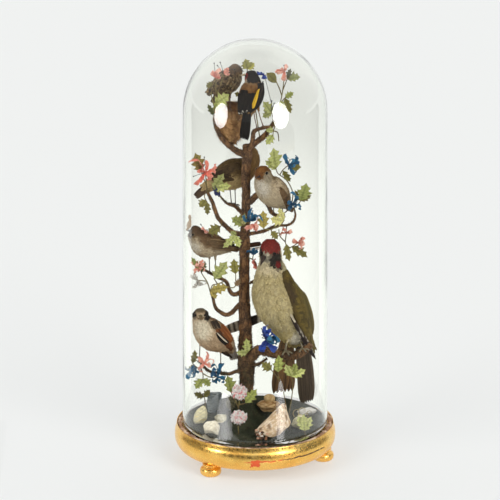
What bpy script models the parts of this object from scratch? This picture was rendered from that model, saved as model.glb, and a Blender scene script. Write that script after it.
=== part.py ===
"""A taxidermy bird group: seven birds on an artificial tree, under a glass dome on a gilt base.

Every number in the lists below is in millimetres; build functions turn them into metres.
X runs to the right, Y away from the front and Z up. The origin is the middle of the surface
that the three bun feet stand on.
"""

import math

import bmesh
import bpy
from mathutils import Vector

MM = 0.001
GAP = 0.3
SWELL = 0.4

# The turned base and its feet
FOOT_HEIGHT = 20.1
FOOT_CIRCLE = 115.0
FOOT_ANGLES = (230.3, 350.4, 110.3)
FOOT_SIDES = 12
FOOT_PROFILE = (
    (0, 0), (13.5, 0), (17.4, 4.2), (17.7, 10.4), (13.0, 15.8), (13.6, FOOT_HEIGHT), (0, FOOT_HEIGHT),
)
RING_BOTTOM = FOOT_HEIGHT + GAP
RIM_TOP = 61.8
RIM_RADIUS = 131.3
REBATE_FLOOR = 57.5
ROUND_SIDES = 28
BASE_PROFILE = (
    (0, RING_BOTTOM), (123, RING_BOTTOM), (128.4, 24.4), (132.2, 31), (133.8, 39), (133.2, 47),
    (131.8, 54), (RIM_RADIUS + 0.5, 60.6), (RIM_RADIUS - 0.4, RIM_TOP), (RIM_RADIUS - 1.6, RIM_TOP - 0.6),
    (RIM_RADIUS - 1.6, REBATE_FLOOR), (0, REBATE_FLOOR),
)
BAND_PROFILE = ((121.6, 57.8), (128.8, 57.8), (127.6, 60.9), (122.4, 60.5))

# The glass dome, a blown shell open at the bottom
DOME_FOOT = REBATE_FLOOR + GAP
DOME_FOOT_RADIUS = 120.6
DOME_TOP_RADIUS = 118.5
DOME_SHOULDER = 605.0
DOME_WALL = 3.0
DOME_ARC_STEPS = 6

# The groundwork: moss with a mound round the trunk's foot
GROUND_RADIUS = 116.4
GROUND_BOTTOM = DOME_FOOT
GROUND_TOP = 63.0
MOUND_HEIGHT = 44.0
MOUND_SPREAD = 26.0
GROUND_SIDES = 24
GROUND_RINGS = (18, 28, 42, 64, GROUND_RADIUS)
TRUNK_X = -13.0
TRUNK_HOLE = 11.9

WIRE = 0.9
PLATE = 0.8
PETAL_NOTCH = 2.2
PETAL_THICKNESS = 1.0
LEAF_TILT = 0.35
LEAF_RISE = 0.3
TUBE_SIDES = 5
BODY_SIDES = 8
TRUNK_SIDES = 8
LIMB_SIDES = 4
STEM_SIDES = 3
WING_SIDES = 5
FUNGUS_SIDES = 9
SHARP_ANGLE = 40
LEAF_TILT_STEP = 2.3
ROUGH_TURN = 3.7
ROUGH_RISE = 5.0

# The tree: each row is a point of the centre line and the radius there
TRUNK = (
    (TRUNK_X, 0, 57.8, 11), (TRUNK_X, 0, 100, 11), (-14, 0, 144, 12), (-15, 0, 162, 14.5), (-16, 0, 180, 12),
    (-16, 0, 219, 10.5), (-18, 0, 300, 8.3), (-17, 0, 380, 8.2), (-15, 0, 450, 6.8), (-15, 0, 502, 7.2),
    (-13, 0, 530, 8), (-13, 0, 546, 7),
)
BRANCHES = {
    "branch_top_left": (
        (
            (-13, 0, 528, 5), (-24, -5, 534, 5), (-36, -10, 543, 4.6), (-49, -16, 557, 4.2),
            (-59, -20, 573, 3.7), (-65, -23, 590, 3.2), (-66, -24, 604, 2.5),
        ),
        ("trunk",),
    ),
    "branch_top_right": (
        (
            (-13, 0, 540, 5), (-4, 2, 546, 5), (5, 4, 552, 4.5), (18, 6, 563, 4), (33, 8, 585, 3),
        ),
        ("trunk",),
    ),
    "perch_goldfinch": (
        (
            (-13, 0, 536, 3.4), (-8, -10, 545, 3.4), (-4, -16, 560, 3.2), (-2, -22, 576, 3),
            (10, -24, 582, 2.8), (23, -24, 585, 2.4),
        ),
        ("trunk", "branch_top_left", "branch_top_right"),
    ),
    "branch_middle_left": (
        (
            (-17, 0, 391, 4), (-26, -5, 393, 4), (-36, -8, 397, 4), (-48, -10, 408, 3.8),
            (-59, -12, 421, 3.5), (-65, -13, 435, 3.3), (-70, -12, 451, 3), (-78, -10, 467, 2.6),
        ),
        ("trunk",),
    ),
    "perch_olive_bird": (
        (
            (-15, 0, 424, 3.2), (-24, 8, 428, 3), (-33, 14, 435, 3), (-40, 24, 434, 2.6),
            (-48, 32, 435, 2.2), (-58, 36, 445, 1.5),
        ),
        ("trunk",),
    ),
    "perch_blackcap": (
        (
            (-15, 0, 446, 5), (-6, -5, 451, 5), (5, -7, 462, 5), (18, -6, 450, 4),
            (30, -10, 429, 3), (48, -14, 430, 2.4),
        ),
        ("trunk",),
    ),
    "branch_middle_right": (
        (
            (-17, 0, 389, 3), (-6, -5, 394, 3), (16, -12, 401, 2.6), (33, -16, 411, 2.2),
            (53, -18, 413, 2), (63, -18, 420, 1.8), (66, -17, 431, 1.6), (63, -16, 443, 1.3),
        ),
        ("trunk", "branch_middle_left"),
    ),
    "perch_brown_bird": (
        (
            (-18, 0, 290, 3.2), (-27, -4, 289, 3.2), (-36, -7, 288, 3.2), (-42, -9, 296, 3),
            (-48, -8, 311, 2.8), (-61, -5, 317, 2.6), (-73, -2, 323, 2.3), (-84, 0, 329, 2),
        ),
        ("trunk",),
    ),
    "branch_lower_loop": (
        (
            (-18, 0, 272, 3.4), (-27, -4, 268, 3.4), (-38, -8, 257, 3.4), (-48, -12, 254, 3.2),
            (-59, -15, 261, 3), (-66, -16, 270, 2.8), (-69, -16, 284, 2.4), (-74, -14, 299, 1.8),
        ),
        ("trunk",),
    ),
    "perch_woodpecker": (
        (
            (-15, 0, 170, 8), (-6, -8, 179, 8), (5, -14, 192, 7.5), (16, -19, 193, 7.5),
            (31, -23, 190, 7.6), (48, -25, 188, 7.6), (64, -26, 187, 7.5), (79, -27, 195, 7),
            (92, -27, 208, 5.5),
        ),
        ("trunk",),
    ),
    "twig_low_right": (
        ((-15, 0, 163, 3), (-4, -6, 164, 3), (7, -10, 167, 2.6), (20, -8, 176, 1.6)),
        ("trunk", "perch_woodpecker"),
    ),
    "twig_sparrow": (
        (
            (-15, 0, 154, 3.2), (-24, -9, 154, 3.2), (-33, -13, 154, 3), (-43, -18, 152, 2.8),
            (-58, -21, 155, 2.6), (-76, -23, 159, 2.2), (-93, -24, 177, 1.8),
        ),
        ("trunk",),
    ),
}

# The nest, a fibre cup, turned about its own axis: radius and height
NEST_CENTRE = (-41, 3)
NEST_PROFILE = (
    (0, 549), (10, 550), (19, 560), (24, 578), (25.5, 598), (23.5, 611), (19, 610), (15.5, 598),
    (9, 588), (0, 585),
)
NEST_SIDES = 12

# The birds: rows are centre, half height in the picture plane and half depth
BIRDS = {
    "bird_young": {
        "colour": (0.2, 0.15, 0.09),
        "body": (
            (-78, 10, 631, 4, 2), (-68, 10, 640, 8, 5), (-58, 9, 645, 15, 12),
            (-48, 8, 650, 19.5, 16), (-39, 7, 658, 18, 15), (-33, 6, 667, 12, 12),
            (-32, 5, 675, 10.5, 11), (-32, 4, 681, 5, 6),
        ),
        "wings": (((-38, -4, 660, 9, 4), (-54, -5, 649, 9, 5), (-70, 1, 636, 4, 3)),),
        "tails": (((-68, 10.5, 637, 5, 3), (-84, 11, 627, 3, 1.5)),),
        "beak": ((-28, 3, 674, 4, 4), (-18, 0, 671, 0.8, 0.8)),
        "legs": (
            ((-41, 10, 640), (-43, 17, 626), (-42, 23.4, 612.4)),
            ((-50, 10, 640), (-52, 16, 626), (-51, 21.4, 612.4)),
        ),
        "leg_radius": 1.1,
        "cut_by": ("nest",),
    },
    "bird_goldfinch": {
        "colour": (0.16, 0.09, 0.04),
        "body": (
            (-16, -36, 606, 8, 5), (-15, -35, 614, 10, 7), (-10, -31, 627, 17, 13),
            (-7, -28, 640, 19.5, 16), (-4, -27, 653, 17, 15), (-4, -27, 664, 12, 12),
            (-6, -28, 673, 11.5, 12), (-7, -28, 682, 6, 7),
        ),
        "wings": (
            (
                (6, -31, 660, 6, 9), (6, -36, 644, 7, 9), (-2, -43, 628, 8, 6),
                (-14, -46, 617, 6, 3),
            ),
            ((-17, -36, 656, 6, 9), (-21, -40, 639, 6, 9), (-20, -43, 622, 6, 6)),
        ),
        "tails": (((-16, -38, 616, 9, 3), (-17, -39, 594, 7, 2), (-18, -41, 571, 8, 1.5)),),
        "beak": ((-14, -30, 676, 4, 4), (-25, -33, 675, 0.8, 0.8)),
        "legs": (
            ((3, -29, 628), (7, -25.4, 606), (13, -24, 585)),
            ((-4, -29, 626), (-1, -24.4, 602), (3, -22.6, 581)),
        ),
        "leg_radius": 1.1,
        "cut_by": ("perch_goldfinch",),
    },
    "bird_olive": {
        "colour": (0.11, 0.08, 0.045),
        "body": (
            (-86, 31, 458, 8, 3), (-69, 30, 469, 11, 8), (-53, 30, 480, 19, 15),
            (-36, 29, 489, 22, 18), (-20, 28, 496, 19, 16), (-8, 27, 504, 15, 14),
            (-5, 26, 517, 11, 12), (-7, 25, 528, 9, 10), (-7, 25, 536, 5, 6),
        ),
        "wings": (((-22, 15, 500, 12, 4), (-46, 16, 494, 11, 5), (-70, 20, 486, 5, 3)),),
        "tails": (((-80, 31, 462, 8, 3), (-101, 32, 447, 6, 1.5)),),
        "beak": ((-6, 25, 533, 3.5, 3.5), (3, 24, 543, 0.8, 0.8)),
        "legs": (
            ((-42, 28, 478), (-41, 27, 456), (-39, 22.6, 435)),
            ((-34, 26, 474), (-33, 22, 455), (-32.4, 13.6, 436)),
        ),
        "leg_radius": 1.1,
        "cut_by": ("trunk", "perch_olive_bird"),
    },
    "bird_blackcap": {
        "colour": (0.33, 0.28, 0.2),
        "body": (
            (52, 4, 441, 6, 4), (46, -2, 449, 14, 12), (36, -9, 461, 22, 18),
            (25, -15, 474, 24, 21), (17, -18, 485, 19, 18), (14, -20, 496, 14, 14.5),
            (13, -19, 507, 13, 14), (13, -17, 515, 6, 7),
        ),
        "wings": (
            (
                (28, -4, 489, 7, 8), (39, -1, 474, 7, 11), (49, 2, 458, 6, 10), (54, 6, 440, 3, 5),
            ),
        ),
        "tails": (((50, 6, 446, 7, 3), (57, 16, 424, 6, 1.5)),),
        "beak": ((10, -31, 504, 3.5, 3.5), (1, -41, 501, 0.8, 0.8)),
        "legs": (
            ((31, -11, 455), (30.5, -10.5, 442), (30.5, -10.3, 430)),
            ((44, -8, 450), (45, -12, 441), (45.5, -13.6, 430)),
        ),
        "leg_radius": 1.1,
        "cut_by": ("perch_blackcap",),
    },
    "bird_brown": {
        "colour": (0.13, 0.085, 0.05),
        "body": (
            (-42, 17, 360, 6, 4), (-55, 10, 365, 12, 10), (-71, 3, 371, 19, 17),
            (-84, -3, 375, 21, 19), (-92, -8, 385, 16, 15), (-96, -11, 395, 13, 13),
            (-99, -13, 400, 11, 11), (-105, -15, 402, 6, 6),
        ),
        "wings": (
            (
                (-84, -17, 384, 8, 6), (-65, -11, 378, 9, 6), (-45, -1, 369, 6, 5),
                (-30, 8, 361, 3, 2),
            ),
        ),
        "tails": (
            (
                (-46, 15, 362, 6, 3), (-26, 19, 358, 6, 2), (-2, 20, 362, 7, 1.6),
                (10, 21, 366, 6, 1.4),
            ),
        ),
        "beak": ((-104, -15, 402, 3.5, 3.5), (-114, -18, 404, 0.8, 0.8)),
        "legs": (
            ((-75, 0, 360), (-75.5, -1, 344), (-75, -1.8, 324.5)),
            ((-66, 0, 360), (-65.5, -2, 344), (-64.5, -4, 319.5)),
        ),
        "leg_radius": 1.1,
        "cut_by": ("trunk", "perch_brown_bird"),
    },
    "bird_sparrow": {
        "colour": (0.42, 0.35, 0.25),
        "body": (
            (-40, 6, 187, 6, 5), (-48, 0, 202, 15, 13), (-61, -8, 215, 24, 20),
            (-73, -16, 228, 29, 24), (-82, -22, 243, 25, 22), (-88, -24, 253, 17, 17),
            (-90, -27, 261, 14.5, 15), (-91, -26, 270, 7, 8),
        ),
        "wings": (
            (
                (-69, -14, 243, 6, 11), (-60, -8, 229, 8, 13), (-49, -2, 209, 8, 11),
                (-41, 4, 190, 5, 6),
            ),
        ),
        "tails": (((-44, 3, 192, 6, 4), (-34, 9, 168, 5, 1.6)),),
        "beak": ((-90, -39, 263, 5, 4), (-89, -52, 258, 0.8, 0.8)),
        "legs": (
            ((-89, -18, 212), (-91, -20, 200), (-92, -23.4, 177)),
            ((-58, -12, 200), (-57, -15, 184), (-57, -20.6, 156)),
        ),
        "leg_radius": 1.2,
        "cut_by": ("twig_sparrow",),
    },
    "bird_woodpecker": {
        "colour": (0.36, 0.31, 0.15),
        "body": (
            (66, 4, 203, 14, 10), (61, -8, 224, 24, 21), (52, -16, 249, 34, 29),
            (41, -22, 276, 40, 34), (32, -24, 298, 38, 35), (28, -24, 317, 31, 30),
            (27, -24, 336, 25, 25), (26, -26, 354, 17.5, 19), (25, -28, 369, 17.5, 20),
            (25, -27, 383, 14, 16), (25, -25, 391, 7, 8),
        ),
        "wings": (
            (
                (47, -20, 338, 8, 8), (61, -22, 312, 13, 14), (72, -18, 283, 14, 16),
                (79, -12, 249, 13, 14), (86, -4, 217, 9, 9), (96, 2, 188, 5, 4), (98, 5, 172, 2, 2),
            ),
            (
                (38, 0, 256, 8, 4), (12, 10, 247, 6, 2), (-20, 16, 233, 5, 1.5),
                (-52, 20, 216, 4, 1.2),
            ),
        ),
        "tails": (
            (
                (67, 6, 205, 11, 6), (71, 16, 167, 14, 4), (76, 26, 129, 16, 4),
                (86, 36, 88, 12, 2),
            ),
            ((58, 6, 205, 9, 6), (54, 18, 140, 12, 4), (42, 27, 92, 8, 2)),
        ),
        "beak": ((18, -42, 367, 7, 6), (8, -78, 363, 1, 1)),
        "legs": (
            ((57, -18, 224), (52, -28, 210), (50, -28, 194)),
            ((66, -14, 218), (74, -23, 210), (77, -26, 199)),
        ),
        "leg_radius": 2.0,
        "cut_by": ("trunk", "perch_woodpecker"),
    },
}

# The moth held in the brown bird's beak
MOTH = (
    (-111.5, -19, 405.5, 1.4, 1.4), (-107.5, -19, 412, 2.4, 2.4), (-106.5, -18, 421, 2, 2),
    (-107, -18, 430, 1, 1),
)

# Stones of the groundwork, all standing on the moss: middle, half sizes and how far the top leans.
# Levels are the share of the height and of the spread there.
ROUND_LEVELS = ((0.0, 0.88), (0.45, 1.0), (0.85, 0.62), (1.0, 0.28))
CONE_LEVELS = ((0.0, 1.0), (0.3, 0.86), (0.72, 0.4), (1.0, 0.12))
STONE_SIDES = 7
STONE_DENT = 0.12
STONES = {
    "stone_white": {
        "middle": (-73, -63),
        "half": (17.5, 12, 11),
        "lean": (3, 4),
        "colour": (0.8, 0.76, 0.6),
    },
    "stone_slate": {
        "middle": (-73, 34),
        "half": (14, 5, 17),
        "lean": (6, 6),
        "colour": (0.2, 0.2, 0.2),
        "on_mound": True,
    },
    "stone_grey_slab": {
        "middle": (-93, -22),
        "half": (12, 13, 15),
        "lean": (6, 8),
        "colour": (0.3, 0.29, 0.24),
    },
    "stone_flat": {
        "middle": (-57, -2),
        "half": (14, 20, 4.5),
        "lean": (2, 0),
        "colour": (0.45, 0.42, 0.34),
        "on_mound": True,
    },
    "stone_cone": {
        "middle": (27, -78),
        "half": (33, 23, 27),
        "lean": (20, 12),
        "colour": (0.62, 0.5, 0.36),
        "levels": CONE_LEVELS,
    },
    "stone_streaked": {
        "middle": (73, -36),
        "half": (14, 13, 10),
        "lean": (2, 2),
        "colour": (0.7, 0.68, 0.6),
    },
    "stone_pale_chip": {
        "middle": (86, 26),
        "half": (18, 9, 6),
        "lean": (3, 1),
        "colour": (0.75, 0.72, 0.65),
    },
}

# The shell fungus on the mound and its button
FUNGUS = ((20, -14, 88, 13, 12), (22, -14, 95, 18, 14), (22, -14, 101, 12, 9), (24, -14, 105, 9, 8),
          (24, -14, 110, 8.5, 7.5), (24, -14, 113, 4, 3.5))

# Leaf outline: share along the midrib and share of the half width
LEAF_OUTLINE = ((0.3, 1.0), (0.7, 0.66), (1.0, 0.0))

# A carnation head: depth and share of the radius, with the rim dented at every other corner
BLOOM_LEVELS = ((4, 0.25), (1, 0.8), (-2, 1.0), (-5, 0.55))
BLOOM_SIDES = 12
BLOOM_DENT = 0.82

# Sprigs: wire stems, leaves (base, tip, half width) and flowers (middle, petal tips, half width)
SPRIGS = {
    "sprig_crown_left": {
        "on": "branch_top_left",
        "stems": (
            ((-66, -24, 600), (-66, -27, 620), (-64, -26, 639), (-64, -22, 668)),
            ((-64, -26, 637), (-57, -22, 654), (-51, -16, 673)),
            ((-66, -27, 618), (-71, -27, 640), (-70, -26, 664)),
        ),
        "leaves": (
            ((-66, -27, 625), (-42, -25, 641), 12),
            ((-70, -26, 662), (-79, -28, 653), 5),
            ((-66, -25, 604), (-77, -27, 625), 5),
            ((-66, -26, 612), (-58, -29, 636), 6),
        ),
        "flowers": (
            ((-63, -21, 671), ((-71, -23, 683), (-55, -23, 682), (-58, -23, 664)), 3.4),
            ((-51, -16, 673), ((-42, -15, 682), (-43, -15, 671)), 3),
        ),
    },
    "sprig_crown_middle": {
        "on": "branch_top_right",
        "stems": (
            ((8, 4, 555), (3, 5, 588), (-3, 0, 629), (-12, -2, 663), (-13, -4, 680)),
            ((-3, 0, 627), (-14, -10, 633), (-20, -13, 635)),
        ),
        "leaves": (
            ((-13, -4, 677), (-16, -6, 695), 10),
            ((-13, -4, 677), (-1, -5, 688), 7),
            ((-18, -12, 635), (-34, -16, 640), 6),
        ),
        "flowers": (),
    },
    "sprig_crown_right": {
        "on": "branch_top_right",
        "stems": (
            ((33, 8, 584), (39, 8, 608), (44, 8, 629), (47, 5, 655), (48, 4, 671)),
            ((44, 8, 628), (38, 2, 646), (28, -5, 666), (15, -8, 668)),
            ((45, 7, 636), (53, 8, 658)),
            ((41, 8, 614), (50, 9, 625)),
        ),
        "leaves": (
            ((35, -1, 653), (18, -7, 672), 7),
            ((53, 8, 656), (74, 10, 659), 8),
            ((53, 8, 656), (58, 6, 675), 5),
            ((49, 9, 624), (63, 10, 633), 6),
            ((49, 9, 624), (59, 6, 598), 7),
            ((42, 8, 620), (46, 3, 600), 6),
        ),
        "flowers": (
            ((48, 4, 673), ((52, 2, 686), (31, 2, 672), (48, 1, 656)), 4),
            ((13, -9, 668), ((6, -11, 673), (17, -10, 662)), 3.4),
        ),
    },
    "sprig_fork_right": {
        "on": "branch_top_right",
        "stems": (
            ((30, 8, 580), (29, 1, 594), (26, -3, 604)),
            ((29, 4, 586), (32, -2, 578), (30, -3, 571), (29, -4, 562)),
            ((30, -3, 571), (37, -4, 568), (39, -5, 554)),
        ),
        "leaves": (
            ((27, -3, 601), (13, -5, 622), 9),
            ((27, -3, 602), (12, -5, 595), 7),
            ((28, -3, 571), (17, -6, 574), 6),
            ((29, -3, 565), (18, -8, 549), 8),
        ),
        "flowers": (),
    },
    "sprig_left_upper": {
        "on": "branch_middle_left",
        "stems": (
            ((-77, -10, 464), (-80, -13, 480), (-85, -15, 495), (-89, -15, 508)),
            ((-80, -13, 480), (-81, -18, 505)),
            ((-79, -12, 474), (-83, -16, 462), (-79, -17, 453)),
        ),
        "leaves": (
            ((-89, -15, 505), (-98, -17, 538), 11),
            ((-80, -17, 456), (-91, -20, 445), 8),
            ((-79, -17, 454), (-78, -20, 431), 6),
        ),
        "flowers": (
            (
                (-81, -18, 504),
                (
                    (-79, -21, 532), (-63, -21, 515), (-71, -21, 494), (-99, -21, 483),
                    (-95, -21, 511),
                ),
                4,
            ),
        ),
    },
    "sprig_left_inner": {
        "on": "perch_olive_bird",
        "stems": (((-47, 32, 435), (-57, 22, 448), (-64, 8, 464), (-70, 0, 470)),),
        "leaves": (((-69, 1, 469), (-51, -4, 498), 9), ((-69, 1, 469), (-39, -4, 477), 9)),
        "flowers": (((-66, 3, 467), ((-58, -2, 460), (-61, -2, 470)), 4),),
    },
    "sprig_centre": {
        "on": "trunk",
        "stems": (
            ((-17, -2, 400), (-12, -14, 408), (-11, -20, 420)),
            ((-12, -14, 407), (-2, -20, 415)),
            ((-12, -14, 408), (-22, -19, 415)),
        ),
        "leaves": (((-19, -18, 413), (-39, -21, 427), 10), ((-18, -18, 414), (-17, -18, 434), 6)),
        "flowers": (
            ((-9, -22, 425), ((-19, -24, 430), (-4, -24, 447), (4, -24, 434)), 4),
            ((-2, -22, 415), ((-15, -25, 411), (7, -25, 421), (1, -25, 407)), 4),
        ),
    },
    "sprig_left_middle": {
        "on": "branch_middle_left",
        "stems": (((-56, -12, 417), (-56, -18, 412), (-66, -19, 405), (-83, -19, 405)),),
        "leaves": (((-57, -18, 411), (-77, -21, 400), 10),),
        "flowers": (((-83, -19, 405), ((-88, -21, 413), (-79, -21, 399)), 3),),
    },
    "sprig_wing_leaf": {
        "on": "trunk",
        "stems": (((-19, -4, 378), (-27, -16, 390), (-33, -21, 397)),),
        "leaves": (
            ((-32, -20, 397), (-53, -26, 376), 7),
            ((-32, -20, 397), (-25, -24, 376), 7),
            ((-32, -20, 396), (-40, -24, 405), 6),
        ),
        "flowers": (),
    },
    "sprig_right_centre": {
        "on": "branch_middle_right",
        "stems": (
            ((33, -16, 410), (26, -20, 406), (14, -18, 407), (13, -16, 413)),
            ((28, -19, 407), (40, -24, 413), (48, -24, 424)),
            ((27, -20, 406), (27, -21, 400)),
        ),
        "leaves": (
            ((14, -18, 407), (13, -16, 438), 10),
            ((48, -23, 421), (25, -27, 428), 9),
            ((48, -23, 422), (39, -24, 446), 6),
            ((26, -20, 403), (37, -22, 390), 7),
        ),
        "flowers": (),
    },
    "sprig_right_upper": {
        "on": "perch_blackcap",
        "stems": (
            (
                (46, -13, 430), (58, -2, 440), (62, 8, 460), (52, 14, 480), (38, 12, 492),
                (34, 4, 505),
            ),
            ((40, 13, 489), (46, 6, 501), (55, -2, 512)),
        ),
        "leaves": (
            ((34, 4, 503), (30, 0, 541), 12),
            ((35, 6, 501), (16, 3, 518), 7),
            ((46, 6, 499), (58, 6, 480), 6),
            ((53, 0, 510), (76, -2, 508), 6),
        ),
        "flowers": (((54, -3, 512), ((48, -6, 529), (68, -6, 531), (66, -6, 497)), 4),),
    },
    "sprig_right_middle": {
        "on": "branch_middle_right",
        "stems": (
            ((65, -17, 436), (64, -20, 445), (61, -21, 451)),
            ((64, -20, 444), (72, -15, 450), (76, -13, 456)),
        ),
        "leaves": (
            ((75, -13, 453), (84, -14, 485), 12),
            ((75, -13, 453), (65, -12, 472), 5),
            ((75, -13, 453), (92, -13, 463), 6),
        ),
        "flowers": (
            (
                (61, -21, 450),
                ((52, -24, 462), (66, -24, 471), (57, -24, 443), (75, -24, 444)),
                4,
            ),
        ),
    },
    "sprig_right_lower": {
        "on": "branch_middle_right",
        "stems": (
            (
                (51.6, -17.2, 413.4), (51, -12, 394), (50, -4, 377), (57, -1, 368), (72, -4, 378),
            ),
            ((50, -5, 379), (41, -7, 390), (39, -12, 403)),
        ),
        "leaves": (((50, -4, 374), (57, -5, 345), 7.6), ((60, -2, 370), (86.4, -4.6, 352), 8.2)),
        "flowers": (
            ((71, -4, 378), ((60, -8, 383), (84, -8, 385), (78, -8, 371)), 4),
            ((51, -13, 397), ((43, -17, 404), (62, -17, 404)), 3.4),
        ),
    },
    "sprig_trunk_blue": {
        "on": "trunk",
        "stems": (
            (
                (-17.4, -0.4, 351), (-8, -8, 351.5), (-2, -10.5, 349), (2, -10, 342), (3, 4, 322),
                (-2, 12, 302),
            ),
            ((-4, -9, 350), (-3, -12, 359)),
        ),
        "leaves": (((-1, 10, 308), (-11, 14, 298), 3.2),),
        "flowers": (
            ((-3, -12, 360), ((-9, -13, 368), (2, -13, 369)), 3),
            ((1, -10, 344), ((-7.4, -12, 345.5), (-1.6, -12, 335)), 2.6),
        ),
    },
    "sprig_left_low_flowers": {
        "on": "branch_lower_loop",
        "stems": (
            ((-74, -14, 296), (-79, -18, 314), (-87, -20, 328), (-92, -20, 342)),
            ((-80, -18, 315), (-95, -21, 318)),
        ),
        "leaves": (((-88, -20, 331), (-82, -22, 352), 5), ((-90, -20, 337), (-105, -17, 357), 5)),
        "flowers": (
            (
                (-92, -20, 341),
                ((-101, -23, 350), (-86, -24, 353), (-102, -23, 334), (-82, -23, 335)),
                4,
            ),
            ((-94, -21, 317), ((-103, -23, 328), (-102, -23, 304), (-86, -23, 307)), 4),
        ),
    },
    "sprig_left_low_leaves": {
        "on": "perch_brown_bird",
        "stems": (
            ((-50, -8, 312), (-60, -16, 310), (-70, -18, 308), (-74, -20, 298)),
            ((-62, -16, 310), (-68, -18, 320)),
            ((-56, -13, 311), (-45, -18, 305), (-33, -15, 305), (-32, -13, 328)),
        ),
        "leaves": (
            ((-68, -18, 318), (-46, -15, 349), 12),
            ((-32, -13, 326), (-35, -11, 352), 9),
            ((-73, -19, 300), (-44, -23, 307), 9),
            ((-73, -19, 300), (-64, -23, 286), 6),
            ((-33, -15, 306), (-24, -17, 318), 6),
        ),
        "flowers": (),
    },
    "sprig_sparrow": {
        "on": "twig_sparrow",
        "stems": (
            ((-86, -24, 168), (-94, -30, 167), (-103, -29, 175)),
            ((-90, -27, 167), (-86, -31, 156), (-86, -31, 146)),
            ((-86, -31, 158), (-74, -31, 151), (-62, -29, 151)),
            ((-91, -28, 167), (-83, -33, 176)),
        ),
        "leaves": (
            ((-103, -29, 174), (-99, -27, 198), 6),
            ((-101, -29, 172), (-110, -29, 161), 4),
            ((-86, -31, 148), (-98, -31, 130), 8),
            ((-86, -31, 148), (-74, -31, 135), 7),
        ),
        "flowers": (
            ((-101, -30, 172), ((-108, -32, 148), (-92, -32, 154)), 4),
            (
                (-83, -32, 176),
                ((-95, -34, 187), (-74, -34, 190), (-95, -34, 168), (-73, -34, 172)),
                4,
            ),
            (
                (-62, -29, 151),
                ((-73, -31, 166), (-59, -31, 171), (-68, -31, 141), (-49, -31, 149)),
                4,
            ),
        ),
    },
    "sprig_carnations": {
        "on": "moss_ground",
        "stems": (
            (
                (-27, -66, 61), (-28, -63, 80), (-28, -58, 97), (-26, -50, 115), (-25, -46, 128),
            ),
            ((-27, -54, 106), (-34, -44, 117), (-41, -38, 130)),
            ((-26, -52, 110), (-14, -48, 112)),
            ((-28, -62, 84), (-27, -66, 92)),
        ),
        "leaves": (((-40, -39, 126), (-46, -36, 156), 10), ((-16, -48, 111), (3, -44, 135), 9)),
        "flowers": (),
        "blooms": (((-25, -47, 130), 14), ((-27, -68, 94), 14)),
    },
    "sprig_trunk_leaf": {
        "on": "trunk",
        "stems": (((-14, -4, 186), (-13, -19, 189)),),
        "leaves": (((-13, -18, 187), (-15, -20, 216), 8), ((-13, -18, 188), (-31, -21, 191), 6)),
        "flowers": (),
    },
    "sprig_perch_blue": {
        "on": "perch_woodpecker",
        "stems": (((5, -14, 193), (5, -38, 203), (11, -52, 214), (18, -56, 226)),),
        "leaves": (),
        "flowers": (
            (
                (19, -57, 227),
                ((14, -60, 250), (40, -58, 234), (9, -60, 208), (33, -60, 207)),
                4.5,
            ),
        ),
    },
    "sprig_low_right": {
        "on": "moss_ground",
        "stems": (
            ((56, -42, 61), (48, -46, 124), (39, -48, 156), (37, -48, 171)),
            ((54, -43, 78), (60, -48, 118), (62, -49, 146), (59, -49, 163)),
            ((40, -48, 152), (26, -47, 171)),
        ),
        "leaves": (
            ((37, -48, 166), (39, -50, 197), 10),
            ((27, -47, 170), (11, -47, 183), 9),
            ((60, -49, 159), (50, -52, 182), 8),
            ((60, -49, 159), (83, -51, 172), 8),
            ((60, -49, 160), (68, -52, 184), 7),
        ),
        "flowers": (),
    },
    "sprig_ground_right": {
        "on": "moss_ground",
        "stems": (((82, -62, 61), (81, -60, 70)),),
        "leaves": (
            ((81, -60, 67), (70, -56, 92), 8),
            ((81, -60, 67), (92, -54, 90), 8),
            ((81, -60, 67), (80, -56, 96), 7),
        ),
        "flowers": (),
    },
    "sprig_ground_left": {
        "on": "moss_ground",
        "stems": (((-83, 8, 61), (-83, 6, 90), (-85, 2, 104), (-92, -2, 112)),),
        "leaves": (((-85, 2, 103), (-102, -4, 113), 6), ((-85, 2, 103), (-75, -2, 118), 6)),
        "flowers": (),
    },
}


def at(point):
    """A point in millimetres as a vector in metres."""
    return Vector(point[:3]) * MM


def clear_scene():
    for obj in list(bpy.data.objects):
        bpy.data.objects.remove(obj, do_unlink=True)


def make_material(name, colour, roughness, metallic=0.0, transmission=0.0):
    material = bpy.data.materials.new(name)
    material.use_nodes = True
    shader = material.node_tree.nodes["Principled BSDF"]
    shader.inputs["Base Color"].default_value = (*colour, 1.0)
    shader.inputs["Roughness"].default_value = roughness
    shader.inputs["Metallic"].default_value = metallic
    shader.inputs["Transmission Weight"].default_value = transmission
    return material


def mesh_object(name, bm, material=None):
    """A mesh object from a bmesh, with its faces pointing out."""
    bmesh.ops.recalc_face_normals(bm, faces=bm.faces)
    mesh = bpy.data.meshes.new(name)
    bm.to_mesh(mesh)
    bm.free()
    mesh.shade_smooth()
    mesh.set_sharp_from_angle(angle=math.radians(SHARP_ANGLE))
    obj = bpy.data.objects.new(name, mesh)
    if material is not None:
        mesh.materials.append(material)
    bpy.context.scene.collection.objects.link(obj)
    return obj


def add_shell(target, source):
    """Copies a closed shell into another bmesh and frees it."""
    bmesh.ops.recalc_face_normals(source, faces=source.faces)
    mesh = bpy.data.meshes.new("shell")
    source.to_mesh(mesh)
    source.free()
    target.from_mesh(mesh)
    bpy.data.meshes.remove(mesh)


def apply_boolean(obj, operand, operation):
    modifier = obj.modifiers.new("boolean", "BOOLEAN")
    modifier.operation = operation
    modifier.object = operand
    modifier.use_self = True
    graph = bpy.context.evaluated_depsgraph_get()
    mesh = bpy.data.meshes.new_from_object(obj.evaluated_get(graph))
    obj.modifiers.remove(modifier)
    obj.data = mesh
    bpy.data.objects.remove(operand, do_unlink=True)


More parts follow.
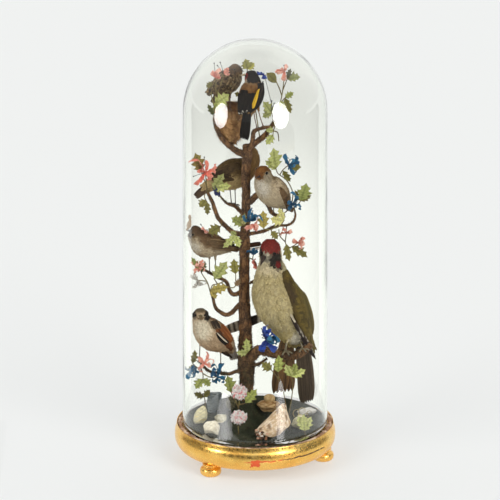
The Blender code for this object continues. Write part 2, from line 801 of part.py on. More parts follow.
def fuse(name, shells, material, cutters=()):
    """One solid: the union of closed shells, less the cutters."""
    obj = mesh_object(name, shells[0], material)
    if len(shells) > 1:
        rest = bmesh.new()
        for shell in shells[1:]:
            add_shell(rest, shell)
        apply_boolean(obj, mesh_object("operand", rest), "UNION")
    if cutters:
        away = bmesh.new()
        for cutter in cutters:
            add_shell(away, cutter)
        apply_boolean(obj, mesh_object("operand", away), "DIFFERENCE")
    return obj


def skin(bm, rings, closed=False):
    """Faces between rings of vertices, with an end cap on each open end."""
    pairs = list(zip(rings, rings[1:]))
    if closed:
        pairs.append((rings[-1], rings[0]))
    for low, high in pairs:
        for i in range(len(low)):
            j = (i + 1) % len(low)
            bm.faces.new((low[i], low[j], high[j], high[i]))
    if not closed:
        bm.faces.new(rings[0][::-1])
        bm.faces.new(rings[-1])


def lathe(profile, sides, centre=(0, 0)):
    """A closed profile of radius and height turned about a vertical axis."""
    bm = bmesh.new()
    rows = []
    for radius, height in profile:
        if radius == 0:
            rows.append([bm.verts.new(at((*centre, height)))])
            continue
        angles = (math.tau * i / sides for i in range(sides))
        rows.append([
            bm.verts.new(at((centre[0] + radius * math.cos(a), centre[1] + radius * math.sin(a), height)))
            for a in angles
        ])
    for low, high in zip(rows, rows[1:] + rows[:1]):
        if len(low) == 1 and len(high) == 1:
            continue
        for i in range(sides):
            j = (i + 1) % sides
            corners = [low[i % len(low)], low[j % len(low)], high[j % len(high)], high[i % len(high)]]
            bm.faces.new(list(dict.fromkeys(corners)))
    return bm


def tangent_at(path, i):
    return (at(path[min(i + 1, len(path) - 1)]) - at(path[max(i - 1, 0)])).normalized()


def tube(points, sides=TUBE_SIDES, swell=0.0):
    """A round tube along rows of centre and radius; swell makes it fatter and longer."""
    bm = bmesh.new()
    rings = []
    normal = tangent_at(points, 0).orthogonal()
    for i, row in enumerate(points):
        tangent = tangent_at(points, i)
        outward = {0: -swell, len(points) - 1: swell}.get(i, 0.0)
        normal = (normal - tangent * normal.dot(tangent)).normalized()
        across = tangent.cross(normal)
        centre = at(row) + tangent * outward * MM
        radius = (row[3] + swell) * MM
        rings.append([
            bm.verts.new(centre + normal * radius * math.cos(a) + across * radius * math.sin(a))
            for a in (math.tau * k / sides for k in range(sides))
        ])
    skin(bm, rings)
    return bm


def wire(points, radius=WIRE, sides=STEM_SIDES):
    return tube([(*p, radius) for p in points], sides)


def loft(rows, sides=BODY_SIDES):
    """Rings along a spine: rows of centre, half height in the picture plane and half depth."""
    bm = bmesh.new()
    rings = []
    for i, row in enumerate(rows):
        tangent = tangent_at(rows, i)
        depth = Vector((0, 1, 0))
        depth = (depth - tangent * depth.dot(tangent)).normalized()
        height = tangent.cross(depth)
        rings.append([
            bm.verts.new(at(row) + height * row[3] * MM * math.cos(a) + depth * row[4] * MM * math.sin(a))
            for a in (math.tau * k / sides for k in range(sides))
        ])
    skin(bm, rings)
    return bm


def plate(outline, thickness=PLATE):
    """A flat outline of points in metres, given a thickness along its own normal."""
    edge_a = outline[1] - outline[0]
    edge_b = outline[-1] - outline[0]
    normal = edge_a.cross(edge_b).normalized() * thickness * MM / 2
    bm = bmesh.new()
    under = [bm.verts.new(p - normal) for p in outline]
    over = [bm.verts.new(p + normal) for p in outline]
    bm.faces.new(under[::-1])
    bm.faces.new(over)
    for i in range(len(outline)):
        j = (i + 1) % len(outline)
        bm.faces.new((under[i], under[j], over[j], over[i]))
    return bm


def leaf(base, tip, half_width, tilt):
    """A lobed leaf plate from its base to its tip, turned about its midrib by tilt."""
    start = at(base)
    along = at(tip) - start
    facing = Vector((math.sin(tilt), -math.cos(tilt), LEAF_RISE)).normalized()
    across = along.cross(facing).normalized() * half_width * MM
    right = [start + along * t + across * s for t, s in LEAF_OUTLINE]
    left = [start + along * t - across * s for t, s in LEAF_OUTLINE[-2::-1]]
    return plate([start, *right, *left])


def flower(middle, tips, half_width):
    """Petals round a middle, as one thin lobed solid."""
    heart = at(middle)
    reach = sorted(tips, key=lambda tip: math.atan2(tip[2] - middle[2], tip[0] - middle[0]))
    outline = []
    for k, tip in enumerate(reach):
        along = at(tip) - heart
        across = Vector((-along.z, 0, along.x)).normalized() * half_width * MM
        outline += [at(tip) - across, at(tip) + across]
        angle = math.atan2(along.z, along.x)
        onward = reach[(k + 1) % len(reach)]
        turn = (math.atan2(onward[2] - middle[2], onward[0] - middle[0]) - angle) % math.tau
        between = angle + turn / 2
        outline.append(heart + Vector((math.cos(between), 0, math.sin(between))) * PETAL_NOTCH * MM)
    half = Vector((0, PETAL_THICKNESS * MM / 2, 0))
    bm = bmesh.new()
    rims = [[bm.verts.new(p + side) for p in outline] for side in (-half, half)]
    hearts = [bm.verts.new(heart + side) for side in (-half, half)]
    for i in range(len(outline)):
        j = (i + 1) % len(outline)
        for rim, middle_vertex in zip(rims, hearts):
            bm.faces.new((middle_vertex, rim[i], rim[j]))
        bm.faces.new((rims[0][i], rims[1][i], rims[1][j], rims[0][j]))
    return bm


def nearest_on_wires(point, wires):
    """The point of the given wires' centre lines that lies nearest to a point, in millimetres."""
    target = Vector(point)
    spots = []
    for line in wires:
        for low, high in zip(line, line[1:]):
            low, high = Vector(low), Vector(high)
            share = max(0.0, min(1.0, (target - low).dot(high - low) / (high - low).length_squared))
            spots.append(low + (high - low) * share)
    return tuple(min(spots, key=lambda spot: (spot - target).length))


def bloom(middle, radius):
    """A carnation head: a ruffled disc that faces the front, with a domed middle."""
    bm = bmesh.new()
    rings = []
    for depth, share in BLOOM_LEVELS:
        ring = []
        for k in range(BLOOM_SIDES):
            a = math.tau * k / BLOOM_SIDES
            r = radius * share * (1.0 if k % 2 else BLOOM_DENT)
            corner = (middle[0] + r * math.cos(a), middle[1] + depth, middle[2] + r * math.sin(a))
            ring.append(bm.verts.new(at(corner)))
        rings.append(ring)
    skin(bm, rings)
    return bm


def ground_height(x, y):
    distance = math.hypot(x - TRUNK_X, y)
    return GROUND_TOP + MOUND_HEIGHT * math.exp(-((distance / MOUND_SPREAD) ** 2))


def ground_shell(lift=0.0, hole=TRUNK_HOLE):
    """The moss ground as rings that move from the trunk's axis to the dome's axis."""
    bm = bmesh.new()
    rings = []
    for radius in (hole, *GROUND_RINGS):
        share = (radius - hole) / (GROUND_RADIUS - hole)
        middle = TRUNK_X * (1 - share)
        ring = []
        for k in range(GROUND_SIDES):
            a = math.tau * k / GROUND_SIDES
            x, y = middle + radius * math.cos(a), radius * math.sin(a)
            ring.append(bm.verts.new(at((x, y, ground_height(x, y) + lift))))
        rings.append(ring)
    for radius, middle in ((GROUND_RADIUS, 0), (hole, TRUNK_X)):
        rings.append([
            bm.verts.new(at((middle + radius * math.cos(a), radius * math.sin(a), GROUND_BOTTOM - lift)))
            for a in (math.tau * k / GROUND_SIDES for k in range(GROUND_SIDES))
        ])
    skin(bm, rings, closed=True)
    return bm


def build_base(gilt, plush):
    mesh_object("gilt_base", lathe(BASE_PROFILE, ROUND_SIDES), gilt)
    mesh_object("rebate_band", lathe(BAND_PROFILE, ROUND_SIDES), plush)
    for label, angle in zip(("front_left", "right", "back"), FOOT_ANGLES):
        a = math.radians(angle)
        centre = (FOOT_CIRCLE * math.cos(a), FOOT_CIRCLE * math.sin(a))
        mesh_object("bun_foot_" + label, lathe(FOOT_PROFILE, FOOT_SIDES, centre), gilt)


def dome_outline(inset):
    """Radius and height from the foot to the crown, inset from the outer face."""
    rows = [(DOME_FOOT_RADIUS - inset, DOME_FOOT)]
    for step in range(DOME_ARC_STEPS + 1):
        a = math.pi / 2 * step / DOME_ARC_STEPS
        radius = 0 if step == DOME_ARC_STEPS else (DOME_TOP_RADIUS - inset) * math.cos(a)
        rows.append((radius, DOME_SHOULDER + (DOME_TOP_RADIUS - inset) * math.sin(a)))
    return rows


def build_dome(glass):
    outside = dome_outline(0.0)
    inside = dome_outline(DOME_WALL)
    mesh_object("glass_dome", lathe(outside + inside[::-1], ROUND_SIDES), glass)


def build_tree(bark):
    mesh_object("trunk", tube(TRUNK, TRUNK_SIDES), bark)
    for name, (points, neighbours) in BRANCHES.items():
        fuse(name, [tube(points)], bark, [carrier_shell(n) for n in neighbours])


def carrier_shell(name):
    """A slightly swollen copy of a piece that carries another, used to cut the gap between them."""
    if name == "trunk":
        return tube(TRUNK, TRUNK_SIDES, swell=SWELL)
    if name == "moss_ground":
        return ground_shell(lift=SWELL, hole=1.0)
    if name == "nest":
        profile = [(radius + SWELL if radius else 0, height + SWELL) for radius, height in NEST_PROFILE]
        return lathe(profile, NEST_SIDES, NEST_CENTRE)
    return tube(BRANCHES[name][0], swell=SWELL)


def build_nest(fibre):
    nest = [lathe(NEST_PROFILE, NEST_SIDES, NEST_CENTRE)]
    fuse("nest", nest, fibre, [carrier_shell("branch_top_left"), carrier_shell("branch_top_right")])


def build_birds():
    for name, bird in BIRDS.items():
        plumage = make_material(name, bird["colour"], 0.85)
        shells = [loft(bird["body"])]
        shells += [loft(rows, WING_SIDES) for rows in (*bird["wings"], *bird["tails"])]
        shells.append(loft(bird["beak"], LIMB_SIDES))
        shells += [wire(points, bird["leg_radius"], LIMB_SIDES) for points in bird["legs"]]
        fuse(name, shells, plumage, [carrier_shell(n) for n in bird["cut_by"]])


def build_moth(ochre):
    mesh_object("moth", loft(MOTH, WING_SIDES), ochre)


def stone_shell(stone):
    """A rough stone standing on the moss: a leaning lump with dents."""
    middle, half, lean = stone["middle"], stone["half"], stone["lean"]
    bm = bmesh.new()
    rings = []
    for level, spread in stone.get("levels", ROUND_LEVELS):
        ring = []
        for k in range(STONE_SIDES):
            a = math.tau * k / STONE_SIDES
            rough = 1.0 - STONE_DENT * (0.5 + 0.5 * math.sin(ROUGH_TURN * k + ROUGH_RISE * level))
            x = middle[0] + half[0] * spread * rough * math.cos(a) + lean[0] * level
            y = middle[1] + half[1] * spread * rough * math.sin(a) + lean[1] * level
            ring.append(bm.verts.new(at((x, y, GROUND_TOP + GAP + 2 * half[2] * level))))
        rings.append(ring)
    skin(bm, rings)
    return bm


def build_groundwork(moss):
    mesh_object("moss_ground", ground_shell(), moss)
    for name, stone in STONES.items():
        rock = make_material(name, stone["colour"], 0.8)
        mound = [carrier_shell("moss_ground")] if stone.get("on_mound") else ()
        fuse(name, [stone_shell(stone)], rock, mound)
    fungus = make_material("shell_fungus", (0.3, 0.2, 0.1), 0.8)
    fuse("shell_fungus", [loft(FUNGUS, FUNGUS_SIDES)], fungus, [carrier_shell("moss_ground")])


def build_sprigs(cloth):
    for name, sprig in SPRIGS.items():
        stems = [sprig["stems"][0]]
        for points in sprig["stems"][1:]:
            stems.append((nearest_on_wires(points[0], stems), *points[1:]))
        shells = [wire(points) for points in stems]
        for k, (base, tip, half_width) in enumerate(sprig["leaves"]):
            tilt = LEAF_TILT * math.sin(LEAF_TILT_STEP * k + 1)
            shells.append(leaf(nearest_on_wires(base, stems), tip, half_width, tilt))
        for middle, tips, half_width in sprig["flowers"]:
            shells.append(flower(nearest_on_wires(middle, stems), tips, half_width))
        for middle, radius in sprig.get("blooms", ()):
            shells.append(bloom(middle, radius))
        fuse(name, shells, cloth, [carrier_shell(sprig["on"])])


def main():
    clear_scene()
    gilt = make_material("gilt", (0.72, 0.43, 0.14), 0.3, metallic=1.0)
    build_base(gilt, make_material("plush", (0.10, 0.05, 0.03), 0.9))
    build_dome(make_material("glass", (0.96, 0.98, 0.96), 0.02, transmission=1.0))
    build_groundwork(make_material("moss", (0.07, 0.07, 0.04), 0.95))
    build_tree(make_material("bark", (0.15, 0.08, 0.03), 0.9))
    build_nest(make_material("fibre", (0.20, 0.11, 0.05), 0.95))
    build_birds()
    build_moth(make_material("ochre", (0.5, 0.3, 0.08), 0.8))
    build_sprigs(make_material("cloth", (0.30, 0.32, 0.10), 0.8))


main()
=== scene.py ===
"""Visual model of a taxidermy bird group: seven birds on an artificial tree under a glass dome.

Lengths in the lists and in the drawing functions are millimetres; a Form turns them into metres.
X runs to the right, Y away from the front and Z up, in the same frame as the solids.
Colours are written as sRGB numbers from 0 to 255.
"""

import math

import bpy
import numpy as np
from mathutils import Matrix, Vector


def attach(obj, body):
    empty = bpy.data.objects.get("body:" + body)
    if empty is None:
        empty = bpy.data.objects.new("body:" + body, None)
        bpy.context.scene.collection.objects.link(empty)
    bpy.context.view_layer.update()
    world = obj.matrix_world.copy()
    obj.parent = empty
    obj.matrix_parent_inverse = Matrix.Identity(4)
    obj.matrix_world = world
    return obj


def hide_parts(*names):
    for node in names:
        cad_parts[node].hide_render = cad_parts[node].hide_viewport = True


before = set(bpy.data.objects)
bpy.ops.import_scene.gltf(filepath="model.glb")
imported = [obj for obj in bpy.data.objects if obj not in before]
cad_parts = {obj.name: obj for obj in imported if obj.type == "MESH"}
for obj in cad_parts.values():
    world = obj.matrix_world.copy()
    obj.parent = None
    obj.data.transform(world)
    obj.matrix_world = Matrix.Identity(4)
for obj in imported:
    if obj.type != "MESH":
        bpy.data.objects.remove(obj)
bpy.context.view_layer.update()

MM = 0.001
GOLDEN = math.pi * (3 - math.sqrt(5))
FORWARD = np.array((0, -1.0, 0))
FIRST_NORMAL = np.array((0.3, 1.0, 0.2))
WAVES_PER_OCTAVE = 4
OCTAVE_FADE = 0.55
WAVES_REACH = 4.5


def floats(values):
    return np.asarray(values, dtype=float)


def circle(count):
    """Angles at even steps round a full turn."""
    return np.linspace(0, math.tau, count, endpoint=False)


def stack(*parts):
    """Arrays side by side in a new last axis, such as x, y and z."""
    return np.stack(parts, axis=-1)


def linear(colour):
    """sRGB numbers from 0 to 255 as linear light."""
    c = floats(colour) / 255
    return np.where(c <= 0.04045, c / 12.92, ((c + 0.055) / 1.055) ** 2.4)


def blend(a, b, share):
    """Mixes two colours; share is a number or one number per point."""
    share = np.clip(floats(share), 0, 1)[..., None]
    return floats(a) * (1 - share) + floats(b) * share


def ramp_up(low, high, x):
    """0 below low, 1 above high, smooth between."""
    t = np.clip((floats(x) - low) / (high - low), 0, 1)
    return t * t * (3 - 2 * t)


def waves(points, size, seed, octaves=3):
    """Smooth noise from -1 to 1 at each point: sums of sine waves that run in seeded directions."""
    points = floats(points)
    flat = points.reshape(-1, 3)
    rng = np.random.default_rng(seed)
    total = np.zeros(len(flat))
    weight = 1.0
    for _ in range(octaves):
        for _ in range(WAVES_PER_OCTAVE):
            direction = rng.normal(size=3)
            direction *= math.tau / (np.linalg.norm(direction) * size)
            total += weight * np.sin(flat @ direction + rng.uniform(0, math.tau))
        size *= 0.5
        weight *= OCTAVE_FADE
    return (total / WAVES_REACH).reshape(points.shape[:-1])


def unit(v):
    """Vectors of length 1."""
    v = floats(v)
    return v / np.maximum(np.linalg.norm(v, axis=-1, keepdims=True), 1e-9)


def smooth(rows, count):
    """A Catmull-Rom curve through rows of numbers, sampled at count places."""
    rows = floats(rows)
    if len(rows) == 2:
        t = np.linspace(0, 1, count)[:, None]
        return rows[0] * (1 - t) + rows[1] * t
    padded = np.vstack([2 * rows[0] - rows[1], rows, 2 * rows[-1] - rows[-2]])
    places = np.linspace(0, len(rows) - 1, count)
    i = np.minimum(places.astype(int), len(rows) - 2)
    t = (places - i)[:, None]
    p0, p1, p2, p3 = (padded[i + k] for k in range(4))
    return 0.5 * (2 * p1 + (p2 - p0) * t + (2 * p0 - 5 * p1 + 4 * p2 - p3) * t ** 2
                  + (3 * p1 - p0 - 3 * p2 + p3) * t ** 3)


def even(points, count):
    """The same line with points at even distances."""
    points = floats(points)
    steps = np.linalg.norm(np.diff(points[:, :3], axis=0), axis=1)
    along = np.concatenate([[0], np.cumsum(steps)])
    places = np.linspace(0, along[-1], count)
    return np.column_stack([np.interp(places, along, column) for column in points.T])


def add_object(name, data):
    """Links a new object to the scene."""
    thing = bpy.data.objects.new(name, data)
    bpy.context.scene.collection.objects.link(thing)
    return thing


class Form:
    """Vertices, faces and a colour at each vertex, gathered until they become one mesh."""

    def __init__(self):
        self.points, self.faces, self.colours, self.count = [], [], [], 0

    def add(self, points, faces, colour):
        points = floats(points).reshape(-1, 3)
        faces = np.asarray(faces, dtype=int)
        colours = np.broadcast_to(floats(colour), points.shape)
        self.points.append(points)
        self.colours.append(colours)
        self.faces.append(faces + self.count)
        self.count += len(points)

    def grid(self, points, colour, closed=False):
        """Quads over rows and columns of points; closed joins the last column to the first."""
        rows, columns = points.shape[:2]
        index = np.arange(rows * columns).reshape(rows, columns)
        right = np.roll(index, -1, axis=1) if closed else index[:, 1:]
        left = index if closed else index[:, :-1]
        quads = stack(left[:-1], right[:-1], right[1:], left[1:]).reshape(-1, 4)
        colour = floats(colour)
        if colour.ndim == 3:
            colour = colour.reshape(-1, 3)
        self.add(points.reshape(-1, 3), quads, colour)

    def strips(self, points, colours):
        """Many grids of one size: points of shape (strips, rows, columns, 3)."""
        n, rows, columns = points.shape[:3]
        index = np.arange(n * rows * columns).reshape(n, rows, columns)
        quads = np.stack(
            [index[:, :-1, :-1], index[:, :-1, 1:], index[:, 1:, 1:], index[:, 1:, :-1]], axis=-1
        ).reshape(-1, 4)
        self.add(points.reshape(-1, 3), quads, np.broadcast_to(colours, points.shape).reshape(-1, 3))

    def cap(self, ring, colour):
        """A fan of triangles over a closed ring."""
        ring = floats(ring)
        n = len(ring)
        points = np.vstack([ring, ring.mean(axis=0)])
        index = np.arange(n)
        faces = stack(index, np.roll(index, -1), np.full(n, n))
        colour = floats(colour)
        if colour.ndim == 2:
            colour = np.vstack([colour, colour.mean(axis=0)])
        self.add(points, faces, colour)

    def make(self, name, material, slot, replaces=(), thickness=0.0):
        """Links the mesh as a piece that rides on the one body."""
        points = np.concatenate(self.points) * MM
        loops = np.concatenate([f.ravel() for f in self.faces])
        totals = np.concatenate([np.full(len(f), f.shape[1]) for f in self.faces])
        starts = np.concatenate([[0], np.cumsum(totals)[:-1]])
        mesh = bpy.data.meshes.new(name)
        mesh.vertices.add(len(points))
        mesh.vertices.foreach_set("co", points.ravel())
        mesh.loops.add(len(loops))
        mesh.loops.foreach_set("vertex_index", loops)
        mesh.polygons.add(len(totals))
        mesh.polygons.foreach_set("loop_start", starts)
        mesh.update(calc_edges=True)
        mesh.validate()
        rgba = np.ones((len(points), 4))
        rgba[:, :3] = linear(np.concatenate(self.colours))
        paint_layer = mesh.color_attributes.new("Col", "FLOAT_COLOR", "POINT")
        paint_layer.data.foreach_set("color", rgba.ravel())
        mesh.shade_smooth()
        mesh.materials.append(material)
        piece = add_object(name, mesh)
        if thickness:
            solid = piece.modifiers.new("thickness", "SOLIDIFY")
            solid.thickness = thickness * MM
            solid.offset = 0
        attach(piece, "root")
        if replaces:
            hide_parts(*replaces)
        return piece


class Wiring:
    """A node tree while its nodes are wired."""

    def __init__(self, tree):
        self.tree = tree

    def feed(self, socket, value):
        """Links a socket to another one, or sets its colour or number."""
        if isinstance(value, bpy.types.NodeSocket):
            self.tree.links.new(value, socket)
        elif isinstance(value, tuple) and socket.type == "RGBA":
            socket.default_value = (*linear(value), 1.0)
        else:
            socket.default_value = value

    def node(self, kind, inputs=(), **settings):
        node = self.tree.nodes.new(kind)
        for key, value in settings.items():
            setattr(node, key, value)
        for key, value in dict(inputs).items():
            self.feed(node.inputs[key], value)
        return node

    def math(self, operation, a, b=0.0, clamp=False):
        node = self.node("ShaderNodeMath", operation=operation, use_clamp=clamp)
        self.feed(node.inputs[0], a)
        self.feed(node.inputs[1], b)
        return node.outputs[0]

    def times(self, a, b):
        return self.math("MULTIPLY", a, b)

    def fit(self, value, low, high, out_low=0.0, out_high=1.0):
        """A smooth step from out_low at low to out_high at high."""
        return self.node("ShaderNodeMapRange", {
            "Value": value, "From Min": low, "From Max": high, "To Min": out_low, "To Max": out_high,
        }, interpolation_type="SMOOTHSTEP").outputs[0]


class Shade(Wiring):
    """A procedural material while its nodes are wired."""

    def __init__(self, name, **values):
        self.material = bpy.data.materials.new(name)
        self.material.use_nodes = True
        super().__init__(self.material.node_tree)
        self.shader = self.tree.nodes["Principled BSDF"]
        for socket, value in values.items():
            self.put(socket.replace("_", " "), value)

    def put(self, socket, value):
        self.feed(self.shader.inputs[socket], value)

    def place(self, stretch=(1, 1, 1)):
        """Object coordinates in metres, stretched along the axes."""
        coords = self.node("ShaderNodeTexCoord").outputs["Object"]
        if stretch == (1, 1, 1):
            return coords
        return self.node("ShaderNodeMapping", {"Vector": coords, "Scale": stretch}).outputs[0]

    def noise(self, size, detail=4.0, roughness=0.55, stretch=(1, 1, 1)):
        """Noise whose largest features are about size millimetres."""
        return self.node("ShaderNodeTexNoise", {
            "Vector": self.place(stretch), "Scale": 1 / (size * MM), "Detail": detail,
            "Roughness": roughness,
        }).outputs["Fac"]

    def cells(self, size, stretch=(1, 1, 1)):
        """The distance to the middles of cells about size millimetres wide."""
        inputs = {"Vector": self.place(stretch), "Scale": 1 / (size * MM)}
        return self.node("ShaderNodeTexVoronoi", inputs).outputs["Distance"]

    def axis(self, name):
        return self.node("ShaderNodeSeparateXYZ", {"Vector": self.place()}).outputs[name]

    def ramp(self, value, *stops):
        node = self.node("ShaderNodeValToRGB", {"Fac": value})
        elements = node.color_ramp.elements
        while len(elements) < len(stops):
            elements.new(1.0)
        for element, (place, colour) in zip(elements, stops):
            element.position = place
            element.color = (*linear(colour), 1.0)
        return node.outputs["Color"]

    def mix(self, share, a, b, kind="MIX"):
        node = self.node("ShaderNodeMix", data_type="RGBA", blend_type=kind)
        for socket, value in ((node.inputs["Factor"], share), (node.inputs[6], a), (node.inputs[7], b)):
            self.feed(socket, value)
        return node.outputs[2]

    def painted(self):
        """The colour stored at the vertices."""
        return self.node("ShaderNodeVertexColor", layer_name="Col").outputs["Color"]

    def bump(self, height, depth, strength, normal=None):
        """Relief of about depth millimetres."""
        inputs = {"Height": height, "Strength": strength, "Distance": depth * MM}
        if normal is not None:
            inputs["Normal"] = normal
        return self.node("ShaderNodeBump", inputs).outputs[0]


def lathe(profile, sides, centre=(0, 0)):
    """Rows of points round a vertical axis, one row for each radius and height."""
    profile = floats(profile)
    a = circle(sides)
    x = centre[0] + profile[:, :1] * np.cos(a)
    y = centre[1] + profile[:, :1] * np.sin(a)
    return stack(x, y, np.repeat(profile[:, 1:], sides, axis=1))


def frames(path):
    """Tangent, normal and side at each point of a line, without twist."""
    path = floats(path)
    tangents = unit(np.gradient(path, axis=0))
    normals = np.zeros_like(path)
    normal = FIRST_NORMAL
    for i, tangent in enumerate(tangents):
        normal = unit(normal - tangent * normal.dot(tangent))
        normals[i] = normal
    return tangents, normals, np.cross(tangents, normals)


def tube(form, rows, sides, colour, relief=None):
    """A round tube along rows of x, y, z and radius; relief maps its points to a swelling."""
    rows = floats(rows)
    path, radius = rows[:, :3], rows[:, 3]
    _, normals, across = frames(path)
    a = circle(sides)
    outward = normals[:, None] * np.cos(a)[:, None] + across[:, None] * np.sin(a)[:, None]
    points = path[:, None] + outward * radius[:, None, None]
    if relief is not None:
        points = points + outward * relief(points)[..., None]
    shade = colour(points) if callable(colour) else colour
    form.grid(points, shade, closed=True)
    for row in (0, -1):
        flat = shade[row] if np.ndim(shade) == 3 else shade
        form.cap(points[row] if row else points[row][::-1], flat)
    return points, outward


# The camera and the light, in metres

CAMERA_HEIGHT = math.radians(19.3)
CAMERA_DISTANCE = 10.0
CAMERA_TARGET = (-0.0084, 0.0, 0.363)
CAMERA_LENS = 436.4
CAMERA_FILM = 36
CAMERA_REACH = 200

# The world is pale behind the object and overhead, and dark elsewhere. An edge is the share of the
# direction along an axis where one turns into the other.
BEHIND_EDGE = (-0.35, 0.35)
OVERHEAD_EDGE = (0.62, 0.9)
SIDE_EDGE = (0.7, 0.95)
FRONT_SHADE = 0.14
SIDE_SHADE = 0.5
OVERHEAD = 0.35
WORLD_STRENGTH = 0.85

# Azimuth in degrees, width and height of each softbox
SOFTBOXES = {"left": (-55, 0.57, 0.94), "right": (40.0, 0.68, 1.06)}
SOFTBOX_DISTANCE = 1.5
SOFTBOX_LIFT = 0.22
SOFTBOX_AIM = 0.55
SOFTBOX_RADIANCE = 12.0
SOFTBOX_SPREAD = 36
SUN_DISTANCE = 2.0
SUN_HEIGHT = 1.7
SUN_AIM = 0.3
SUN_ANGLE = math.radians(35)
SUN_STRENGTH = {"left": 1.45, "right": 1.75}
# What a lamp shines on, its shape, size, place, target, radiance and half spread in degrees
GLOWS = {
    "streak_left": (
        "glass", "ELLIPSE", (0.074, 0.1), (-0.125, -0.174, 0.062), (-0.05, -0.109, 0.095), 6.2, 16),
    "streak_right": (
        "glass", "ELLIPSE", (0.044, 0.112), (0.107, -0.187, 0.08), (0.042, -0.113, 0.115), 5.6, 11),
    "shoulder_strip": ("gilt", "RECTANGLE", (4.0, 0.75), (0.0, -2.2, 0.8), (0, 0, 0.06), 1.2, 80),
}

# A ray that has passed through glass this often sees neither the softboxes nor the dark sheets
NEAR_DEPTH = 3.0
RAYS = ("camera", "diffuse", "glossy", "transmission", "volume_scatter", "shadow")
CARD_LIFT = 0.0006
DARK_COLOUR = {"front": (40, 42, 42), "left": (70, 72, 70), "right": (70, 72, 70)}
DARK_CARDS = {
    "front": ((-39.0, -39.0), (39.0, -39.0), (39.0, -0.29), (-39.0, -0.29)),
    "left": ((-9.0, -0.29), (-0.42, -0.29), (-0.42, 0.16), (-9.0, 5.6)),
    "right": ((0.42, -0.29), (9.0, -0.29), (9.0, 5.6), (0.42, 0.16)),
}
DARK_STRENGTH = 1.0
BRIGHT_CARD = ((-0.6, 0.12), (0.6, 0.12), (0.6, 3.2), (-0.6, 3.2))
BRIGHT_COLOUR = (252, 255, 250)
BRIGHT_STRENGTH = 1.13
# The bright sheet fades from one Y to another, to this share of its strength
CARD_FADE = (1.0, 2.0, 0.7)
FLOOR_CORNERS = ((-40, -40), (40, -40), (40, 40), (-40, 40))
FLOOR_COLOUR = (164, 165, 164)
FLOOR_GLOW = (239, 241, 240)
FLOOR_GLOW_STRENGTH = 0.53


def make_camera():
    data = bpy.data.cameras.new("camera")
    data.lens = CAMERA_LENS
    data.sensor_width = CAMERA_FILM
    data.clip_end = CAMERA_REACH
    camera = add_object("camera", data)
    way = np.array((0, -math.cos(CAMERA_HEIGHT), math.sin(CAMERA_HEIGHT)))
    camera.location = CAMERA_TARGET + CAMERA_DISTANCE * way
    camera.rotation_euler = (math.pi / 2 - CAMERA_HEIGHT, 0, 0)
    bpy.context.scene.camera = camera


def aim(lamp, place, target):
    """Puts a lamp at a place and points it at a target."""
    lamp.location = place
    lamp.rotation_euler = (Vector(target) - Vector(place)).to_track_quat("-Z", "Y").to_euler()


def make_world():
    """A pale sweep behind and above, and a dark studio on the camera's side and low at the two sides."""
    world = bpy.data.worlds.new("studio")
    bpy.context.scene.world = world
    world.use_nodes = True
    sky = Wiring(world.node_tree)
    way = sky.node("ShaderNodeTexCoord").outputs["Generated"]
    x, y, z = sky.node("ShaderNodeSeparateXYZ", {"Vector": way}).outputs
    behind = sky.fit(y, *BEHIND_EDGE, FRONT_SHADE, 1.0)
    overhead = sky.fit(z, *OVERHEAD_EDGE, 0.0, OVERHEAD)
    sides = sky.fit(sky.math("ABSOLUTE", x), *SIDE_EDGE, 1.0, SIDE_SHADE)
    background = world.node_tree.nodes["Background"]
    sky.feed(background.inputs["Color"], sky.math("MAXIMUM", sky.times(behind, sides), overhead))
    background.inputs["Strength"].default_value = WORLD_STRENGTH


def near_share(wiring):
    """1 for a ray that has passed through few faces of glass, and 0 for one that has passed more."""
    depth = wiring.node("ShaderNodeLightPath").outputs["Transmission Depth"]
    return wiring.math("LESS_THAN", depth, NEAR_DEPTH)


def add_glow(name, shape, size, place, target, radiance, half_spread):
    """A lamp that shows only as a reflection on outer faces."""
    spread = math.radians(half_spread)
    data = bpy.data.lights.new(name, "AREA")
    data.shape = shape
    data.size, data.size_y = size
    data.spread = 2 * spread
    data.energy = radiance * math.pi * size[0] * size[1] * (1 - spread / math.tan(spread))
    lamp = add_object(name, data)
    lamp.visible_diffuse = False
    lamp.visible_camera = False
    lamp.visible_transmission = False
    aim(lamp, place, target)
    return lamp


def show_in_near_glass(lamp):
    """Lets rays inside the near wall of the glass see a lamp as well."""
    lamp.visible_transmission = True
    lamp.data.use_nodes = True
    wiring = Wiring(lamp.data.node_tree)
    wiring.feed(wiring.tree.nodes["Emission"].inputs["Strength"], near_share(wiring))


def make_lights():
    """Two tall softboxes, which show only as reflections, and a broad sun behind each for even light."""
    for label, (azimuth, width, height) in SOFTBOXES.items():
        a = math.radians(azimuth)
        way = np.array((math.sin(a), -math.cos(a), 0))
        place = way * SOFTBOX_DISTANCE + (0, 0, height / 2 + SOFTBOX_LIFT)
        show_in_near_glass(add_glow(
            "softbox_" + label, "ELLIPSE", (width, height), place, (0, 0, SOFTBOX_AIM), SOFTBOX_RADIANCE,
            SOFTBOX_SPREAD))
        data = bpy.data.lights.new("key_" + label, "SUN")
        data.energy = SUN_STRENGTH[label]
        data.angle = SUN_ANGLE
        sun = add_object(data.name, data)
        sun.visible_glossy = False
        sun.visible_transmission = False
        aim(sun, way * SUN_DISTANCE + (0, 0, SUN_HEIGHT), (0, 0, SUN_AIM))
    for name, (_, *values) in GLOWS.items():
        add_glow(name, *values)


def add_sheet(name, corners, lift, shade):
    """A flat face of the stage, at a height over the ground."""
    mesh = bpy.data.meshes.new(name)
    mesh.from_pydata([(x, y, lift) for x, y in corners], [], [(0, 1, 2, 3)])
    mesh.materials.append(shade.material)
    sheet = add_object(name, mesh)
    return sheet


